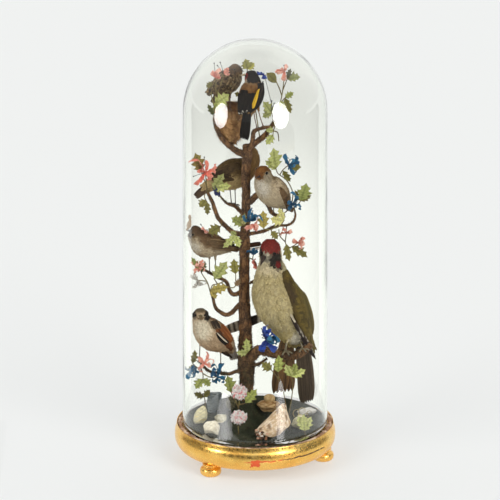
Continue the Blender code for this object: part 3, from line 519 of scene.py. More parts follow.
def make_floor():
    shade = Shade("pale floor", Roughness=0.6, Specular_IOR_Level=0.2, Base_Color=FLOOR_COLOUR)
    shade.put("Emission Color", FLOOR_GLOW)
    shade.put("Emission Strength", FLOOR_GLOW_STRENGTH)
    add_sheet("floor", FLOOR_CORNERS, 0, shade)


def make_card(name, corners, colour, strength, rays, fade=None):
    """A glowing sheet that only the named kinds of ray see; one without a fade goes out in far glass."""
    shade = Shade(name, Roughness=1.0, Specular_IOR_Level=0.0, Base_Color=(0, 0, 0))
    shade.put("Emission Color", colour)
    if fade:
        low, high, share = fade
        strength = shade.fit(shade.axis("Y"), low, high, strength, strength * share)
    else:
        shade.put("Alpha", near_share(shade))
    shade.put("Emission Strength", strength)
    card = add_sheet(name, corners, CARD_LIFT, shade)
    for ray in RAYS:
        setattr(card, "visible_" + ray, ray in rays)


bpy.context.scene.view_settings.view_transform = "Standard"
make_camera()
make_world()
make_lights()
make_floor()
for side, sheet in DARK_CARDS.items():
    make_card("dark_sheet_" + side, sheet, DARK_COLOUR[side], DARK_STRENGTH, ("glossy", "transmission"))
make_card("bright_sheet", BRIGHT_CARD, BRIGHT_COLOUR, BRIGHT_STRENGTH, ("transmission",), CARD_FADE)


# The gilt base, its feet, the plush band and the glass

GOLD = (231, 187, 112)
FOOT_CIRCLE = 115.0
FOOT_ANGLES = {"front_left": 230.3, "right": 350.4, "back": 110.3}
FOOT_PROFILE = (
    (0.01, 0.0), (9, 0.0), (13.5, 0.4), (16.6, 3.2), (17.7, 7.6), (16.9, 12.2), (13.6, 15.2), (12.4, 16.6),
    (13.2, 18.0), (13.6, 20.1), (0.01, 20.1),
)
BASE_PROFILE = (
    (0.01, 20.4), (60, 20.4), (118, 20.4), (123, 20.5), (126.2, 22.2), (129.4, 25.6), (132.2, 31),
    (133.6, 36.8), (133.8, 41), (133.6, 46), (132.8, 50.6), (131.6, 54.6), (130.8, 58.6), (130.5, 61),
    (130.1, 61.8), (129.7, 61.2), (129.6, 58), (129.5, 57.5), (118, 57.5), (60, 57.5), (0.01, 57.5),
)


# Places of the crack and of the chipped patch, in metres
CRACK_HEIGHT = 0.0391
CRACK_EDGE = (0.0015, 0.0007)
CRACK_DRIFT = 0.007
CRACK_SLOPE = 0.018
PATCH_X = 0.0005
PATCH_HEIGHT = 0.0365
PATCH_EDGE = (0.0078, 0.0066)
PATCH_RAGGED = 0.012


def crack_mask(shade):
    """A thin broken line that runs along the front of the ring, right of its middle."""
    drift = shade.times(shade.math("SUBTRACT", shade.noise(16, detail=5), 0.5), CRACK_DRIFT)
    slope = shade.times(shade.axis("X"), CRACK_SLOPE)
    level = shade.math("SUBTRACT", shade.math("ADD", shade.axis("Z"), drift), slope)
    line = shade.fit(shade.math("ABSOLUTE", shade.math("SUBTRACT", level, CRACK_HEIGHT)), *CRACK_EDGE)
    front = shade.fit(shade.axis("Y"), -0.066, -0.072)
    right = shade.fit(shade.axis("X"), -0.02, -0.016)
    crack = shade.times(line, shade.times(front, right))
    return shade.times(crack, shade.fit(shade.noise(14, detail=3), 0.34, 0.42))


def patch_mask(shade):
    """A ragged square in the middle of the front."""
    ragged = shade.times(shade.math("SUBTRACT", shade.noise(4, detail=6), 0.5), PATCH_RAGGED)
    across = shade.math("ABSOLUTE", shade.math("SUBTRACT", shade.axis("X"), PATCH_X))
    upward = shade.math("ABSOLUTE", shade.math("SUBTRACT", shade.axis("Z"), PATCH_HEIGHT))
    inside = shade.math("MAXIMUM", across, shade.times(upward, 1.25))
    patch = shade.fit(shade.math("ADD", inside, ragged), *PATCH_EDGE)
    return shade.times(patch, shade.fit(shade.axis("Y"), -0.1, -0.11))


def gilding():
    """Leaf of gold over red bole: rubbed places, a crack and one chipped patch in front."""
    shade = Shade("gilding", Metallic=1.0)
    broad = shade.noise(38, detail=5, stretch=(1, 1, 1.6))
    fine = shade.noise(5, detail=6, roughness=0.65)
    gold = shade.ramp(broad, (0.3, (236, 176, 84)), (0.5, (252, 202, 106)), (0.72, (255, 218, 132)))
    rubbed = shade.fit(shade.noise(9, detail=5, roughness=0.6), 0.66, 0.74)
    # The lower part of the ring is painted a brighter, more orange gold: a painted reflection of the floor.
    low = shade.fit(shade.axis("Z"), 0.042, 0.026)
    gold = shade.mix(shade.times(low, 0.5), gold, (255, 196, 104))
    gold = shade.mix(shade.times(rubbed, 0.45), gold, (160, 92, 40))
    crack = crack_mask(shade)
    # the crack shows red bole in the middle and dark wood towards the right
    red = shade.fit(shade.axis("X"), 0.052, 0.04)
    gold = shade.mix(crack, gold, shade.mix(red, (84, 52, 22), (222, 84, 36)))
    patch = patch_mask(shade)
    gold = shade.mix(patch, gold, (226, 92, 42))
    shade.put("Base Color", gold)
    bare = shade.math("MAXIMUM", patch, shade.times(crack, 0.8), clamp=True)
    shade.put("Metallic", shade.math("SUBTRACT", 1.0, bare))
    sheen = shade.fit(fine, 0.3, 0.8, 0.24, 0.36)
    shade.put("Roughness", shade.math("ADD", sheen, shade.times(bare, 0.4)))
    relief = shade.bump(shade.noise(26, detail=2), 0.8, 0.4)
    relief = shade.bump(fine, 0.03, 0.3, relief)
    relief = shade.bump(shade.math("SUBTRACT", 0.0, bare), 0.5, 0.8, relief)
    shade.put("Normal", relief)
    return shade.material


def make_base(gilt):
    """The turned ring, with its flat underside and rebate, and the bun feet."""
    form = Form()
    profile = np.vstack([BASE_PROFILE[:3], smooth(BASE_PROFILE[3:15], 70), BASE_PROFILE[16:]])
    form.grid(lathe(profile, 168), GOLD, closed=True)
    pieces = [form.make("gilded_ring", gilt, "gilt", ["gilt_base"])]
    for label, angle in FOOT_ANGLES.items():
        a = math.radians(angle)
        form = Form()
        centre = (FOOT_CIRCLE * math.cos(a), FOOT_CIRCLE * math.sin(a))
        profile = np.vstack([FOOT_PROFILE[:2], smooth(FOOT_PROFILE[2:-1], 30), FOOT_PROFILE[-1:]])
        form.grid(lathe(profile, 56, centre), GOLD, closed=True)
        pieces.append(form.make("foot_" + label, gilt, "gilt", ["bun_foot_" + label]))
    return pieces


BAND_RADIUS = 125.3
BAND_HEIGHT = 59.5
BAND_THREADS = 46
BAND_PILE = 6500


def make_band():
    """The worn plush cord in the rebate: a twisted core under a matted pile."""
    shade = Shade("worn plush", Roughness=0.95)
    shade.put("Base Color", shade.painted())
    shade.put("Normal", shade.bump(shade.noise(1.5, detail=6), 0.8, 0.9))
    rng = np.random.default_rng(5)
    a, b = circle(360), circle(10)
    twist = 0.5 * np.sin(a[:, None] * BAND_THREADS + b * 2)
    radius = BAND_RADIUS + (3.2 + twist) * np.cos(b)
    height = BAND_HEIGHT + (1.6 + 0.4 * twist) * np.sin(b)
    points = stack(radius * np.cos(a)[:, None], radius * np.sin(a)[:, None], height)
    form = Form()
    wear = waves(points, 26, 11)
    colour = blend((156, 120, 90), (232, 208, 178), ramp_up(-0.2, 0.6, wear))
    form.grid(np.concatenate([points, points[:1]]), np.concatenate([colour, colour[:1]]), closed=True)
    n = BAND_PILE
    turn = rng.uniform(0, math.tau, n)
    out = rng.uniform(BAND_RADIUS - 3.7, BAND_RADIUS + 3.9, n)
    spot = stack(out * np.cos(turn), out * np.sin(turn), np.full(n, BAND_HEIGHT + 1.1))
    spot[:, 2] -= 0.14 * np.abs(out - BAND_RADIUS) ** 1.2
    heading = turn + math.pi / 2 + rng.normal(0, 0.7, n)
    along = stack(np.cos(heading), np.sin(heading), rng.uniform(-0.15, 0.5, n))
    patch = waves(spot, 30, 23) + 0.35 * rng.normal(size=n)
    tones = blend((138, 96, 70), (228, 178, 148), ramp_up(-0.6, 0.3, patch))
    tones = blend(tones, (232, 218, 198), ramp_up(0.1, 0.5, patch))
    slivers(form, spot, along, rng.uniform(1.6, 3.4, n), rng.uniform(0.35, 0.8, n), tones, rng)
    form.make("plush_band", shade.material, "plush", ["rebate_band"])


def slivers(form, roots, along, lengths, widths, tones, rng):
    """Short tapering blades: fibres, pile and moss."""
    n = len(roots)
    along = unit(along)
    side = unit(np.cross(along, rng.normal(size=(n, 3))))
    bend = unit(np.cross(along, side)) * rng.normal(0, 0.18, n)[:, None]
    steps = np.array([0.0, 0.5, 1.0])
    spread = np.array([1.0, 0.8, 0.15])
    lengths, widths = lengths[:, None, None], widths[:, None, None]
    centre = roots[:, None] + along[:, None] * (steps[:, None] * lengths)
    centre = centre + bend[:, None] * (lengths * steps[:, None] ** 2)
    half = side[:, None] * (widths / 2 * spread[:, None])
    points = np.stack([centre - half, centre + half], axis=2)
    form.strips(points, floats(tones)[:, None, None, :])


DOME_FOOT = 57.8
DOME_FOOT_RADIUS = 120.6
DOME_TOP_RADIUS = 118.5
DOME_SHOULDER = 605.0
DOME_WALL = 3.0
CLEAR, TINT, RIM_TINT = (255, 255, 253), (247, 251, 245), (212, 219, 210)


def dome_outline(inset):
    """Radius and height from the foot to the crown, inset from the outer face."""
    up = np.linspace(DOME_FOOT, DOME_SHOULDER, 40)[:-1]
    wall = np.interp(up, (DOME_FOOT, DOME_SHOULDER), (DOME_FOOT_RADIUS, DOME_TOP_RADIUS)) - inset
    a = np.linspace(0, math.pi / 2 - 0.002, 48)
    top = DOME_TOP_RADIUS - inset
    arc = np.column_stack([top * np.cos(a), DOME_SHOULDER + top * np.sin(a)])
    return np.vstack([np.column_stack([wall, up]), arc])


def glass_material():
    """Old blown glass, faintly green towards its rim, that lets the light in to what stands inside."""
    shade = Shade("dome glass", Roughness=0.0, IOR=1.5, Transmission_Weight=1.0)
    rim = shade.node("ShaderNodeLayerWeight", {"Blend": 0.5}).outputs["Facing"]
    shade.put("Base Color", shade.ramp(rim, (0.55, CLEAR), (0.8, TINT), (0.97, RIM_TINT)))
    shade.put("Normal", shade.bump(shade.noise(70, detail=1.5, stretch=(1, 1, 0.35)), 1.2, 0.5))
    path = shade.node("ShaderNodeLightPath")
    through = shade.math("MAXIMUM", path.outputs["Is Shadow Ray"], path.outputs["Is Diffuse Ray"])
    clear = shade.node("ShaderNodeBsdfTransparent")
    mix = shade.node("ShaderNodeMixShader", {0: through, 1: shade.shader.outputs[0], 2: clear.outputs[0]})
    shade.feed(shade.tree.nodes["Material Output"].inputs["Surface"], mix.outputs[0])
    return shade.material


def make_glass():
    form = Form()
    outline = np.vstack([dome_outline(DOME_WALL)[::-1], dome_outline(0.0)])
    form.grid(lathe(outline, 144), (255, 255, 255), closed=True)
    return form.make("dome", glass_material(), "glass", ["glass_dome"])


def link_glows(receivers):
    """Lets each lamp of the reflections shine on its own pieces only."""
    for name, (kind, *_) in GLOWS.items():
        lit = bpy.data.collections.new(name + " lights")
        for piece in receivers[kind]:
            lit.objects.link(piece)
        bpy.data.objects[name].light_linking.receiver_collection = lit


gilded = make_base(gilding())
make_band()
link_glows({"gilt": gilded, "glass": [make_glass()]})


# The groundwork, the tree and the nest

TRUNK_X = -13.0
GROUND_RADIUS = 116.6
GROUND_TOP = 63.0
MOUND_HEIGHT = 44.0
MOUND_SPREAD = 26.0
GROUND_BOTTOM = 57.9
MOSS_BLADES = 12500
MOSS_SEED = 7


def ground_height(x, y):
    distance = np.hypot(x - TRUNK_X, y)
    return GROUND_TOP + MOUND_HEIGHT * np.exp(-((distance / MOUND_SPREAD) ** 2))


def moss_material():
    shade = Shade("moss", Roughness=0.95)
    shade.put("Base Color", shade.mix(shade.noise(1.6, detail=5), shade.painted(), (24, 26, 17)))
    shade.put("Normal", shade.bump(shade.noise(1.8, detail=6, roughness=0.7), 1.2, 0.9))
    return shade.material


def moss_tone(points, seed):
    """Dark green moss with greyer and browner places."""
    n = waves(points, 34, seed)
    m = waves(points, 9, seed + 1)
    tone = blend((70, 78, 50), (98, 101, 68), ramp_up(-0.3, 0.7, n))
    return blend(tone, (70, 58, 38), ramp_up(0.1, 0.9, m) * 0.6)


def make_ground():
    """Mossy earth that rises round the trunk's foot, with an edge down to its underside."""
    radii = np.concatenate([[0.5], np.linspace(5, GROUND_RADIUS, 74)])
    a = circle(220)
    middle = TRUNK_X * (1 - radii / GROUND_RADIUS)
    x = middle[:, None] + radii[:, None] * np.cos(a)
    y = radii[:, None] * np.sin(a)
    lump = waves(stack(x, y, np.zeros_like(x)), 14, 3, 4)
    z = ground_height(x, y) + 0.9 * lump * ramp_up(GROUND_RADIUS, GROUND_RADIUS - 14, radii)[:, None]
    points = stack(x, y, z)[::-1]
    skirt = points[:1].copy()
    skirt[..., 2] = GROUND_BOTTOM
    rows = np.concatenate([skirt, points])
    form = Form()
    # The bed under the blades is painted darker than they are, as shade beneath them.
    form.grid(rows, moss_tone(rows, MOSS_SEED) * 0.8, closed=True)
    add_moss(form, np.random.default_rng(31))
    form.make("moss_bed", moss_material(), "moss", ["moss_ground"])


def add_moss(form, rng):
    """Blades all over the ground, and more of them round the trunk's foot, where they lean outwards."""
    n = MOSS_BLADES
    r = GROUND_RADIUS * np.sqrt(rng.uniform(0, 1, n)) - 1
    t = rng.uniform(0, math.tau, n)
    roots = stack(r * np.cos(t), r * np.sin(t), np.zeros(n))
    near = n // 4
    spread = np.abs(rng.normal(0, 20, near)) + 9
    turn = rng.uniform(0, math.tau, near)
    roots[:near, 0] = TRUNK_X + spread * np.cos(turn)
    roots[:near, 1] = spread * np.sin(turn)
    roots[:, 2] = ground_height(roots[:, 0], roots[:, 1]) - 0.4
    along = rng.normal(0, 0.55, (n, 3))
    along[:, 2] = 1
    along[:near, 0] += (roots[:near, 0] - TRUNK_X) * 0.06
    along[:near, 1] += roots[:near, 1] * 0.06
    tones = moss_tone(roots, MOSS_SEED) * rng.uniform(0.7, 1.25, (n, 1))
    tones[rng.uniform(size=n) < 0.05] = (140, 128, 92)
    slivers(form, roots, along, rng.uniform(1.2, 3.0, n), rng.uniform(0.6, 1.2, n), tones, rng)


# Limbs: middle and radius along each
TRUNK = (
    (-13, 0, 57.8, 11), (-13, 0, 80, 11), (-13, 0, 100, 11), (-14, 0, 144, 12), (-15, 0, 162, 14),
    (-16, 0, 180, 12), (-16, 0, 219, 10.5), (-18, 0, 300, 8.6), (-17, 0, 380, 8.4), (-15, 0, 450, 7),
    (-15, 0, 502, 7.4), (-13, 0, 530, 8), (-13, 0, 546, 7),
)
BRANCHES = {
    "branch_top_left": (
        (-13, 0, 528, 6.4), (-24, -5, 534, 5.8), (-36, -10, 543, 5), (-49, -16, 557, 4.4),
        (-59, -20, 573, 3.8), (-65, -23, 590, 3.2), (-66, -24, 604, 2.5),
    ),
    "branch_top_right": (
        (-13, 0, 538, 6), (-4, 2, 546, 5.4), (5, 4, 552, 4.8), (18, 6, 563, 4.2), (33, 8, 585, 3.2),
    ),
    "perch_goldfinch": (
        (-13, 0, 536, 4), (-8, -10, 545, 3.9), (-4, -16, 560, 3.7), (-2, -22, 576, 3.4),
        (10, -24, 582, 2.9), (23, -24, 585, 2.4),
    ),
    "branch_middle_left": (
        (-17, 0, 391, 5), (-26, -5, 393, 4.4), (-36, -8, 397, 4.1), (-48, -10, 408, 3.8),
        (-59, -12, 421, 3.5), (-65, -13, 435, 3.3), (-70, -12, 451, 3), (-78, -10, 467, 2.6),
    ),
    "perch_olive_bird": (
        (-15, 0, 424, 4), (-24, 8, 428, 3.2), (-33, 14, 435, 3), (-40, 24, 434, 2.6), (-48, 32, 435, 2.2),
        (-58, 36, 445, 1.5),
    ),
    "perch_blackcap": (
        (-15, 0, 446, 6), (-6, -5, 451, 5.4), (5, -7, 462, 5), (18, -6, 450, 4.2), (30, -10, 429, 3),
        (48, -14, 430, 2.4),
    ),
    "branch_middle_right": (
        (-17, 0, 389, 4), (-6, -5, 394, 3.2), (16, -12, 401, 2.7), (33, -16, 411, 2.3), (53, -18, 413, 2.1),
        (63, -18, 420, 1.9), (66, -17, 431, 1.6), (63, -16, 443, 1.3),
    ),
    "perch_brown_bird": (
        (-18, 0, 290, 4.4), (-27, -4, 289, 3.7), (-36, -7, 288, 3.4), (-42, -9, 296, 3.1),
        (-48, -8, 311, 2.9), (-61, -5, 317, 2.6), (-73, -2, 323, 2.3), (-84, 0, 329, 2),
    ),
    "branch_lower_loop": (
        (-18, 0, 272, 4.6), (-27, -4, 268, 3.9), (-38, -8, 257, 3.5), (-48, -12, 254, 3.3),
        (-59, -15, 261, 3.1), (-66, -16, 270, 2.8), (-69, -16, 284, 2.4), (-74, -14, 299, 1.8),
    ),
    "perch_woodpecker": (
        (-15, 0, 170, 9), (-6, -8, 179, 8.8), (5, -14, 192, 8.2), (16, -19, 193, 7.8), (31, -23, 190, 7.6),
        (48, -25, 188, 7.6), (64, -26, 187, 7.4), (79, -27, 195, 6.8), (92, -27, 208, 5.2),
    ),
    "twig_low_right": ((-15, 0, 163, 3.4), (-4, -6, 164, 3), (7, -10, 167, 2.6), (20, -8, 176, 1.6)),
    "twig_sparrow": (
        (-15, 0, 154, 4), (-24, -9, 154, 3.4), (-33, -13, 154, 3), (-43, -18, 152, 2.8),
        (-58, -21, 155, 2.6), (-76, -23, 159, 2.2), (-93, -24, 177, 1.8),
    ),
}


def bark_material():
    """Paper and flock wound round wire: brown, fibrous along the limb, rubbed pale in small specks."""
    shade = Shade("wrapped bark", Roughness=0.92)
    fibre = shade.noise(3.4, detail=7, roughness=0.65, stretch=(1, 1, 0.28))
    tone = shade.mix(shade.fit(fibre, 0.36, 0.6), (48, 31, 18), shade.painted())
    rubbed = shade.fit(shade.noise(1.3, detail=5), 0.5, 0.72, 0.0, 0.75)
    shade.put("Base Color", shade.mix(rubbed, tone, (186, 142, 92)))
    relief = shade.bump(fibre, 1.6, 0.8)
    shade.put("Normal", shade.bump(shade.noise(0.9, detail=4), 0.4, 0.7, relief))
    return shade.material


FLOCK_HEIGHTS = (190, 140)
MOSSY_HEIGHT = 215
FIBRES_PER_SQUARE = 0.26


def bark_tone(points, seed):
    """Brown wrapping, with dark green flock on the lower limbs."""
    n = waves(points, 18, seed)
    tone = blend((68, 45, 26), (138, 98, 60), ramp_up(-0.6, 0.6, n))
    flock = ramp_up(*FLOCK_HEIGHTS, points[..., 2]) * ramp_up(-0.5, 0.5, waves(points, 26, seed + 3) + 0.25)
    return blend(tone, (48, 50, 30), flock * 0.9)


def make_limb(name, rows, sides, steps, seed):
    """A limb with ridges along it, knots, and stray fibres that stand off its surface."""
    rng = np.random.default_rng(seed)
    line = even(smooth(rows, 120), steps)
    form = Form()

    def relief(points):
        ridges = waves(points * (1, 1, 0.25), 7, seed, 3)
        knots = waves(points, 16, seed + 1, 2)
        return line[:, 3:] * (0.09 * ridges + 0.09 * knots)

    def colour(points):
        return bark_tone(points, seed + 5)

    points, outward = tube(form, line, sides, colour, relief)
    area = np.linalg.norm(np.diff(line[:, :3], axis=0), axis=1).sum() * line[:, 3].mean() * math.tau
    n = int(area * FIBRES_PER_SQUARE)
    i = rng.integers(1, len(line) - 1, n)
    j = rng.integers(0, sides, n)
    out = outward[i, j]
    roots = points[i, j] + rng.normal(0, 0.4, (n, 3))
    tangents = frames(line[:, :3])[0][i]
    along = tangents * rng.choice([-1, 1], n)[:, None] + out * rng.uniform(0.05, 0.6, n)[:, None]
    along += rng.normal(0, 0.35, (n, 3))
    tones = bark_tone(roots, seed + 5) * rng.uniform(0.6, 1.35, (n, 1))
    slivers(form, roots, along, rng.uniform(1.2, 3.2, n), rng.uniform(0.25, 0.5, n), tones, rng)
    mossy = (roots[:, 2] < MOSSY_HEIGHT) & (waves(roots, 24, seed + 9) > -0.15)
    if mossy.any():
        add_tufts(form, roots[mossy], out[mossy], rng)
    form.make(name + "_bark", BARK, "bark", [name])


def add_tufts(form, roots, outward, rng):
    """Moss that has crept up a limb."""
    m = len(roots)
    tones = moss_tone(roots, MOSS_SEED) * rng.uniform(0.6, 1.2, (m, 1))
    along = outward + rng.normal(0, 0.5, (m, 3))
    slivers(form, roots, along, rng.uniform(1.2, 3.4, m), rng.uniform(0.4, 0.9, m), tones, rng)


def make_tree():
    make_limb("trunk", TRUNK, 40, 240, 100)
    for k, (name, rows) in enumerate(BRANCHES.items()):
        make_limb(name, rows, 18, 64, 101 + 7 * k)


NEST_CENTRE = np.array([-41.0, 3.0, 0.0])
NEST_MIDDLE_HEIGHT = 590
NEST_PROFILE = (
    (2, 550), (10, 551), (19, 561), (23.6, 578), (25.2, 598), (23.2, 611), (19, 609.5), (15.6, 598),
    (9, 589), (2, 586.5),
)
NEST_LEVELS = 60
NEST_SIDES = 90
NEST_FIBRES = 6200
NEST_TONES = ((190, 142, 90), (150, 102, 58), (104, 68, 38), (216, 180, 128), (122, 100, 58), (66, 44, 28))


def pick_tones(tones, n, low, high, rng):
    """One of several colours for each of n blades, a little darker or lighter."""
    return floats(tones)[rng.integers(0, len(tones), n)] * rng.uniform(low, high, (n, 1))


def make_nest():
    """A cup of wound fibre, hair and moss."""
    rng = np.random.default_rng(61)
    shade = Shade("nest fibre", Roughness=0.95)
    shade.put("Base Color", shade.painted())
    shade.put("Normal", shade.bump(shade.noise(1.2, detail=5), 0.8, 0.8))
    rows = lathe(smooth(NEST_PROFILE, NEST_LEVELS), NEST_SIDES, NEST_CENTRE[:2])
    outward = unit(rows - (NEST_CENTRE + (0, 0, NEST_MIDDLE_HEIGHT)))
    tones = blend((140, 102, 64), (190, 146, 94), ramp_up(-0.5, 0.7, waves(rows, 12, 63)))
    rows = rows + outward * (waves(rows, 9, 62) * 0.7)[..., None]
    form = Form()
    form.grid(rows, tones, closed=True)
    n = NEST_FIBRES
    i = rng.integers(2, NEST_LEVELS - 4, n)
    j = rng.integers(0, NEST_SIDES, n)
    out = outward[i, j]
    along = np.cross(out, (0, 0, 1.0)) * rng.choice([-1, 1], n)[:, None] + rng.normal(0, 0.4, (n, 3))
    roots = rows[i, j] + out * rng.uniform(0, 1.2, n)[:, None]
    tones = pick_tones(NEST_TONES, n, 0.9, 1.25, rng)
    slivers(form, roots, along, rng.uniform(2.5, 8, n), rng.uniform(0.25, 0.7, n), tones, rng)
    form.make("nest_cup", shade.material, "nest_fibre", ["nest"])


# Stones: middle, half sizes, lean, a middle, pale and dark colour, and seed

STONES = {
    "stone_white": (
        (-73, -63), (16.5, 11.5, 11), (3, 4), ((228, 218, 190), (252, 246, 224), (186, 166, 128)), 3),
    "stone_slate": (
        (-73, 34), (13, 5, 17), (6, 6), ((96, 106, 110), (140, 148, 146), (62, 66, 68)), 5),
    "stone_grey_slab": (
        (-93, -22), (11.5, 12.5, 15), (6, 8), ((186, 178, 140), (236, 226, 180), (214, 190, 110)), 9),
    "stone_flat": (
        (-57, -2), (13.5, 19, 4.5), (2, 0), ((178, 172, 136), (226, 220, 192), (150, 136, 82)), 11),
    "stone_streaked": (
        (73, -36), (13.5, 12.5, 10), (2, 2), ((232, 224, 176), (250, 246, 214), (182, 168, 122)), 15),
    "stone_pale_chip": (
        (86, 26), (17.5, 8.5, 6), (3, 1), ((220, 216, 206), (242, 240, 234), (182, 172, 152)), 17),
    "stone_cone": (
        (27, -78), (32, 22.5, 27), (20, 12), ((200, 168, 128), (244, 228, 204), (124, 92, 62)), 13),
}
GREY_STONES = ("stone_slate", "stone_grey_slab", "stone_flat")
# Share of the height and share of the half sizes there
ROUND_LEVELS = ((0.0, 0.86), (0.22, 0.97), (0.5, 0.98), (0.8, 0.72), (0.95, 0.4), (1.0, 0.1))
STONE_LEVELS = {
    "stone_slate": ((0.0, 0.94), (0.2, 0.99), (0.6, 1.0), (0.88, 0.96), (0.97, 0.86), (1.0, 0.5)),
    "stone_cone": (
        (0.0, 0.97), (0.12, 0.97), (0.3, 0.86), (0.55, 0.6), (0.8, 0.32), (0.97, 0.13), (1.0, 0.03)),
}
STONE_CHIPS = 16
STONE_SINK = 0.6
SHELL_TONES = ((236, 224, 206), (150, 104, 74), (206, 160, 132), (80, 56, 44))


def chipped(ball, rng, seed):
    """Points of a ball with flat chips and lumps."""
    for direction in unit(rng.normal(size=(STONE_CHIPS, 3)) * (1, 1, 0.6)):
        limit = rng.uniform(0.72, 0.95)
        over = np.maximum(ball @ direction - limit, 0)
        ball = ball - direction * over[:, None] * 0.9
    return ball * (1 + 0.05 * waves(ball, 0.9, seed, 4))[:, None]


def make_stone(name, middle, half, lean, tones, seed):
    """A broken, weathered stone with flat chips, pits and seams."""
    levels = smooth(STONE_LEVELS.get(name, ROUND_LEVELS), 40)
    a = circle(84)
    share = np.clip(levels[:, 0], 0, 1)[:, None]
    spread = levels[:, 1][:, None]
    rng = np.random.default_rng(seed)
    ball = stack(spread * np.cos(a), spread * np.sin(a), 2 * share - 1 + 0 * a)
    ball = chipped(ball.reshape(-1, 3), rng, seed)
    ball[:, :2] *= 0.98
    up = (ball[:, 2] + 1) / 2
    points = np.column_stack([
        middle[0] + half[0] * ball[:, 0] + lean[0] * up,
        middle[1] + half[1] * ball[:, 1] + lean[1] * up,
        GROUND_TOP - STONE_SINK + (2 * half[2] + 0.9) * up,
    ])
    grain = (1, 1, 0.3) if name == "stone_cone" else (1, 1, 2.5)
    grit = waves(points * grain, 5, seed + 2, 4)
    seam = waves(points * grain, 13, seed + 4, 3)
    tone = blend(tones[0], tones[1], ramp_up(-0.5, 0.6, grit + 0.4 * seam))
    tone = blend(tone, tones[2], ramp_up(0.25, 0.8, seam) * 0.8)
    form = Form()
    rows = points.reshape(len(levels), len(a), 3)
    form.grid(rows, tone, closed=True)
    form.cap(rows[-1], tones[1])
    form.cap(rows[0][::-1], tones[0])
    if name == "stone_cone":
        add_shells(form, rng)
    form.make(name + "_rock", ROCK, "grey_stone" if name in GREY_STONES else "pale_stone", [name])


def add_shells(form, rng):
    """Small shells and grit caught at the left foot of the cone."""
    a = circle(10)
    b = np.linspace(0.05, math.pi / 2, 4)[:, None]
    for k in range(26):
        turn = math.radians(rng.uniform(186, 252))
        x = 29 + rng.uniform(22, 30) * math.cos(turn)
        y = -78 + rng.uniform(18, 25) * math.sin(turn)
        size = rng.uniform(1.6, 3.2)
        r = size * np.sin(b) * (1 + 0.12 * np.cos(5 * a))
        z = GROUND_TOP + rng.uniform(1, 14) + size * 0.9 * np.cos(b) + 0 * a
        rows = stack(x + r * np.cos(a), y + r * np.sin(a), z)[::-1]
        form.grid(rows, SHELL_TONES[k % len(SHELL_TONES)], closed=True)


def rock_material():
    shade = Shade("weathered stone", Roughness=0.85)
    fine = shade.noise(3, detail=7, roughness=0.7)
    tone = shade.mix(shade.fit(shade.noise(2.2, detail=6), 0.42, 0.62), shade.painted(), (120, 108, 88))
    share = shade.times(shade.fit(fine, 0.4, 0.65), 0.3)
    shade.put("Base Color", shade.mix(share, shade.painted(), tone))
    relief = shade.bump(shade.noise(9, detail=4), 1.2, 0.35)
    shade.put("Normal", shade.bump(fine, 1.0, 0.6, relief))
    return shade.material


FUNGUS_PROFILE = (
    (0.6, 84), (11, 86), (13, 89), (15.5, 92), (18.4, 95.6), (17.8, 98), (15, 100), (12.6, 101), (9, 102.6),
    (5, 103),
)
BUTTON_PROFILE = ((3, 101), (7.6, 102.5), (9.2, 106), (8.8, 110), (6, 113), (0.3, 114.2))


def make_fungus():
    """A layered bracket with a spotted rim, and a tan button on top of it."""
    shade = Shade("shell fungus", Roughness=0.8)
    spots = shade.fit(shade.cells(2.6), 0.28, 0.16)
    shade.put("Base Color", shade.mix(spots, shade.painted(), (58, 36, 20)))
    shade.put("Normal", shade.bump(shade.noise(2, detail=5), 0.6, 0.7))
    form = Form()
    a = circle(72)
    r, z = smooth(FUNGUS_PROFILE, 40).T[..., None]
    ripple = 1 + 0.05 * np.sin(5 * a) + 0.03 * np.sin(11 * a)
    rows = stack(22 + r * np.cos(a) * ripple, -14 + 0.76 * r * np.sin(a) * ripple,
                 z + 0.7 * np.sin(6 * a) * (r / 18))
    bands = ramp_up(-0.4, 0.6, waves(rows * (1, 1, 3), 9, 71))
    form.grid(rows, blend((150, 112, 66), (206, 176, 128), bands), closed=True)
    r, z = smooth(BUTTON_PROFILE, 22).T[..., None]
    rows = stack(24 + r * np.cos(a), -14 + 0.86 * r * np.sin(a), z + 0 * a)
    bands = ramp_up(-0.5, 0.5, waves(rows, 6, 73))
    form.grid(rows, blend((186, 152, 100), (206, 178, 128), bands), closed=True)
    form.make("fungus", shade.material, "fungus", ["shell_fungus"])


LICHEN_CENTRE = np.array([-40.0, -4.0, 96.0])
LICHEN_HALF = np.array([8.5, 7.0, 12.0])
LICHEN_BLADES = 2600
LICHEN_TONES = ((150, 144, 108), (196, 190, 156), (108, 102, 72), (72, 70, 46))
# Foot, size and lean of each curl of grass
GRASS_LOOPS = (
    (70, -2, 68, 7.5, 0.3), (79, 4, 67, 8.5, -0.6), (86, -8, 66, 6.0, 1.0), (75, -14, 65, 6.5, 2.2),
    (91, 6, 66, 5.5, 0.0),
)
GRASS_TONES = ((206, 190, 138), (150, 132, 84))


def make_undergrowth():
    """A tuft of pale lichen at the mound's left and curly dry grass among the right stones."""
    rng = np.random.default_rng(83)
    shade = Shade("dry lichen", Roughness=0.95)
    shade.put("Base Color", shade.painted())
    form = Form()
    n = LICHEN_BLADES
    way = unit(rng.normal(size=(n, 3)))
    roots = LICHEN_CENTRE + way * LICHEN_HALF * rng.uniform(0.2, 1.0, (n, 1))
    tones = pick_tones(LICHEN_TONES, n, 0.85, 1.1, rng)
    along = way + rng.normal(0, 0.9, (n, 3))
    slivers(form, roots, along, rng.uniform(1.0, 2.6, n), rng.uniform(0.4, 1.0, n), tones, rng)
    a = np.linspace(0.2, 5.4, 26)
    for k, (x, y, z, size, lean) in enumerate(GRASS_LOOPS):
        fade = size * (1 - 0.09 * a)
        line = stack(x - fade * np.sin(a + lean), y + 1.6 * a, z + size - fade * np.cos(a + lean),
                     np.linspace(0.75, 0.35, len(a)))
        tube(form, line, 6, GRASS_TONES[(k + 1) % 2])
    form.make("lichen_and_grass", shade.material, "moss")


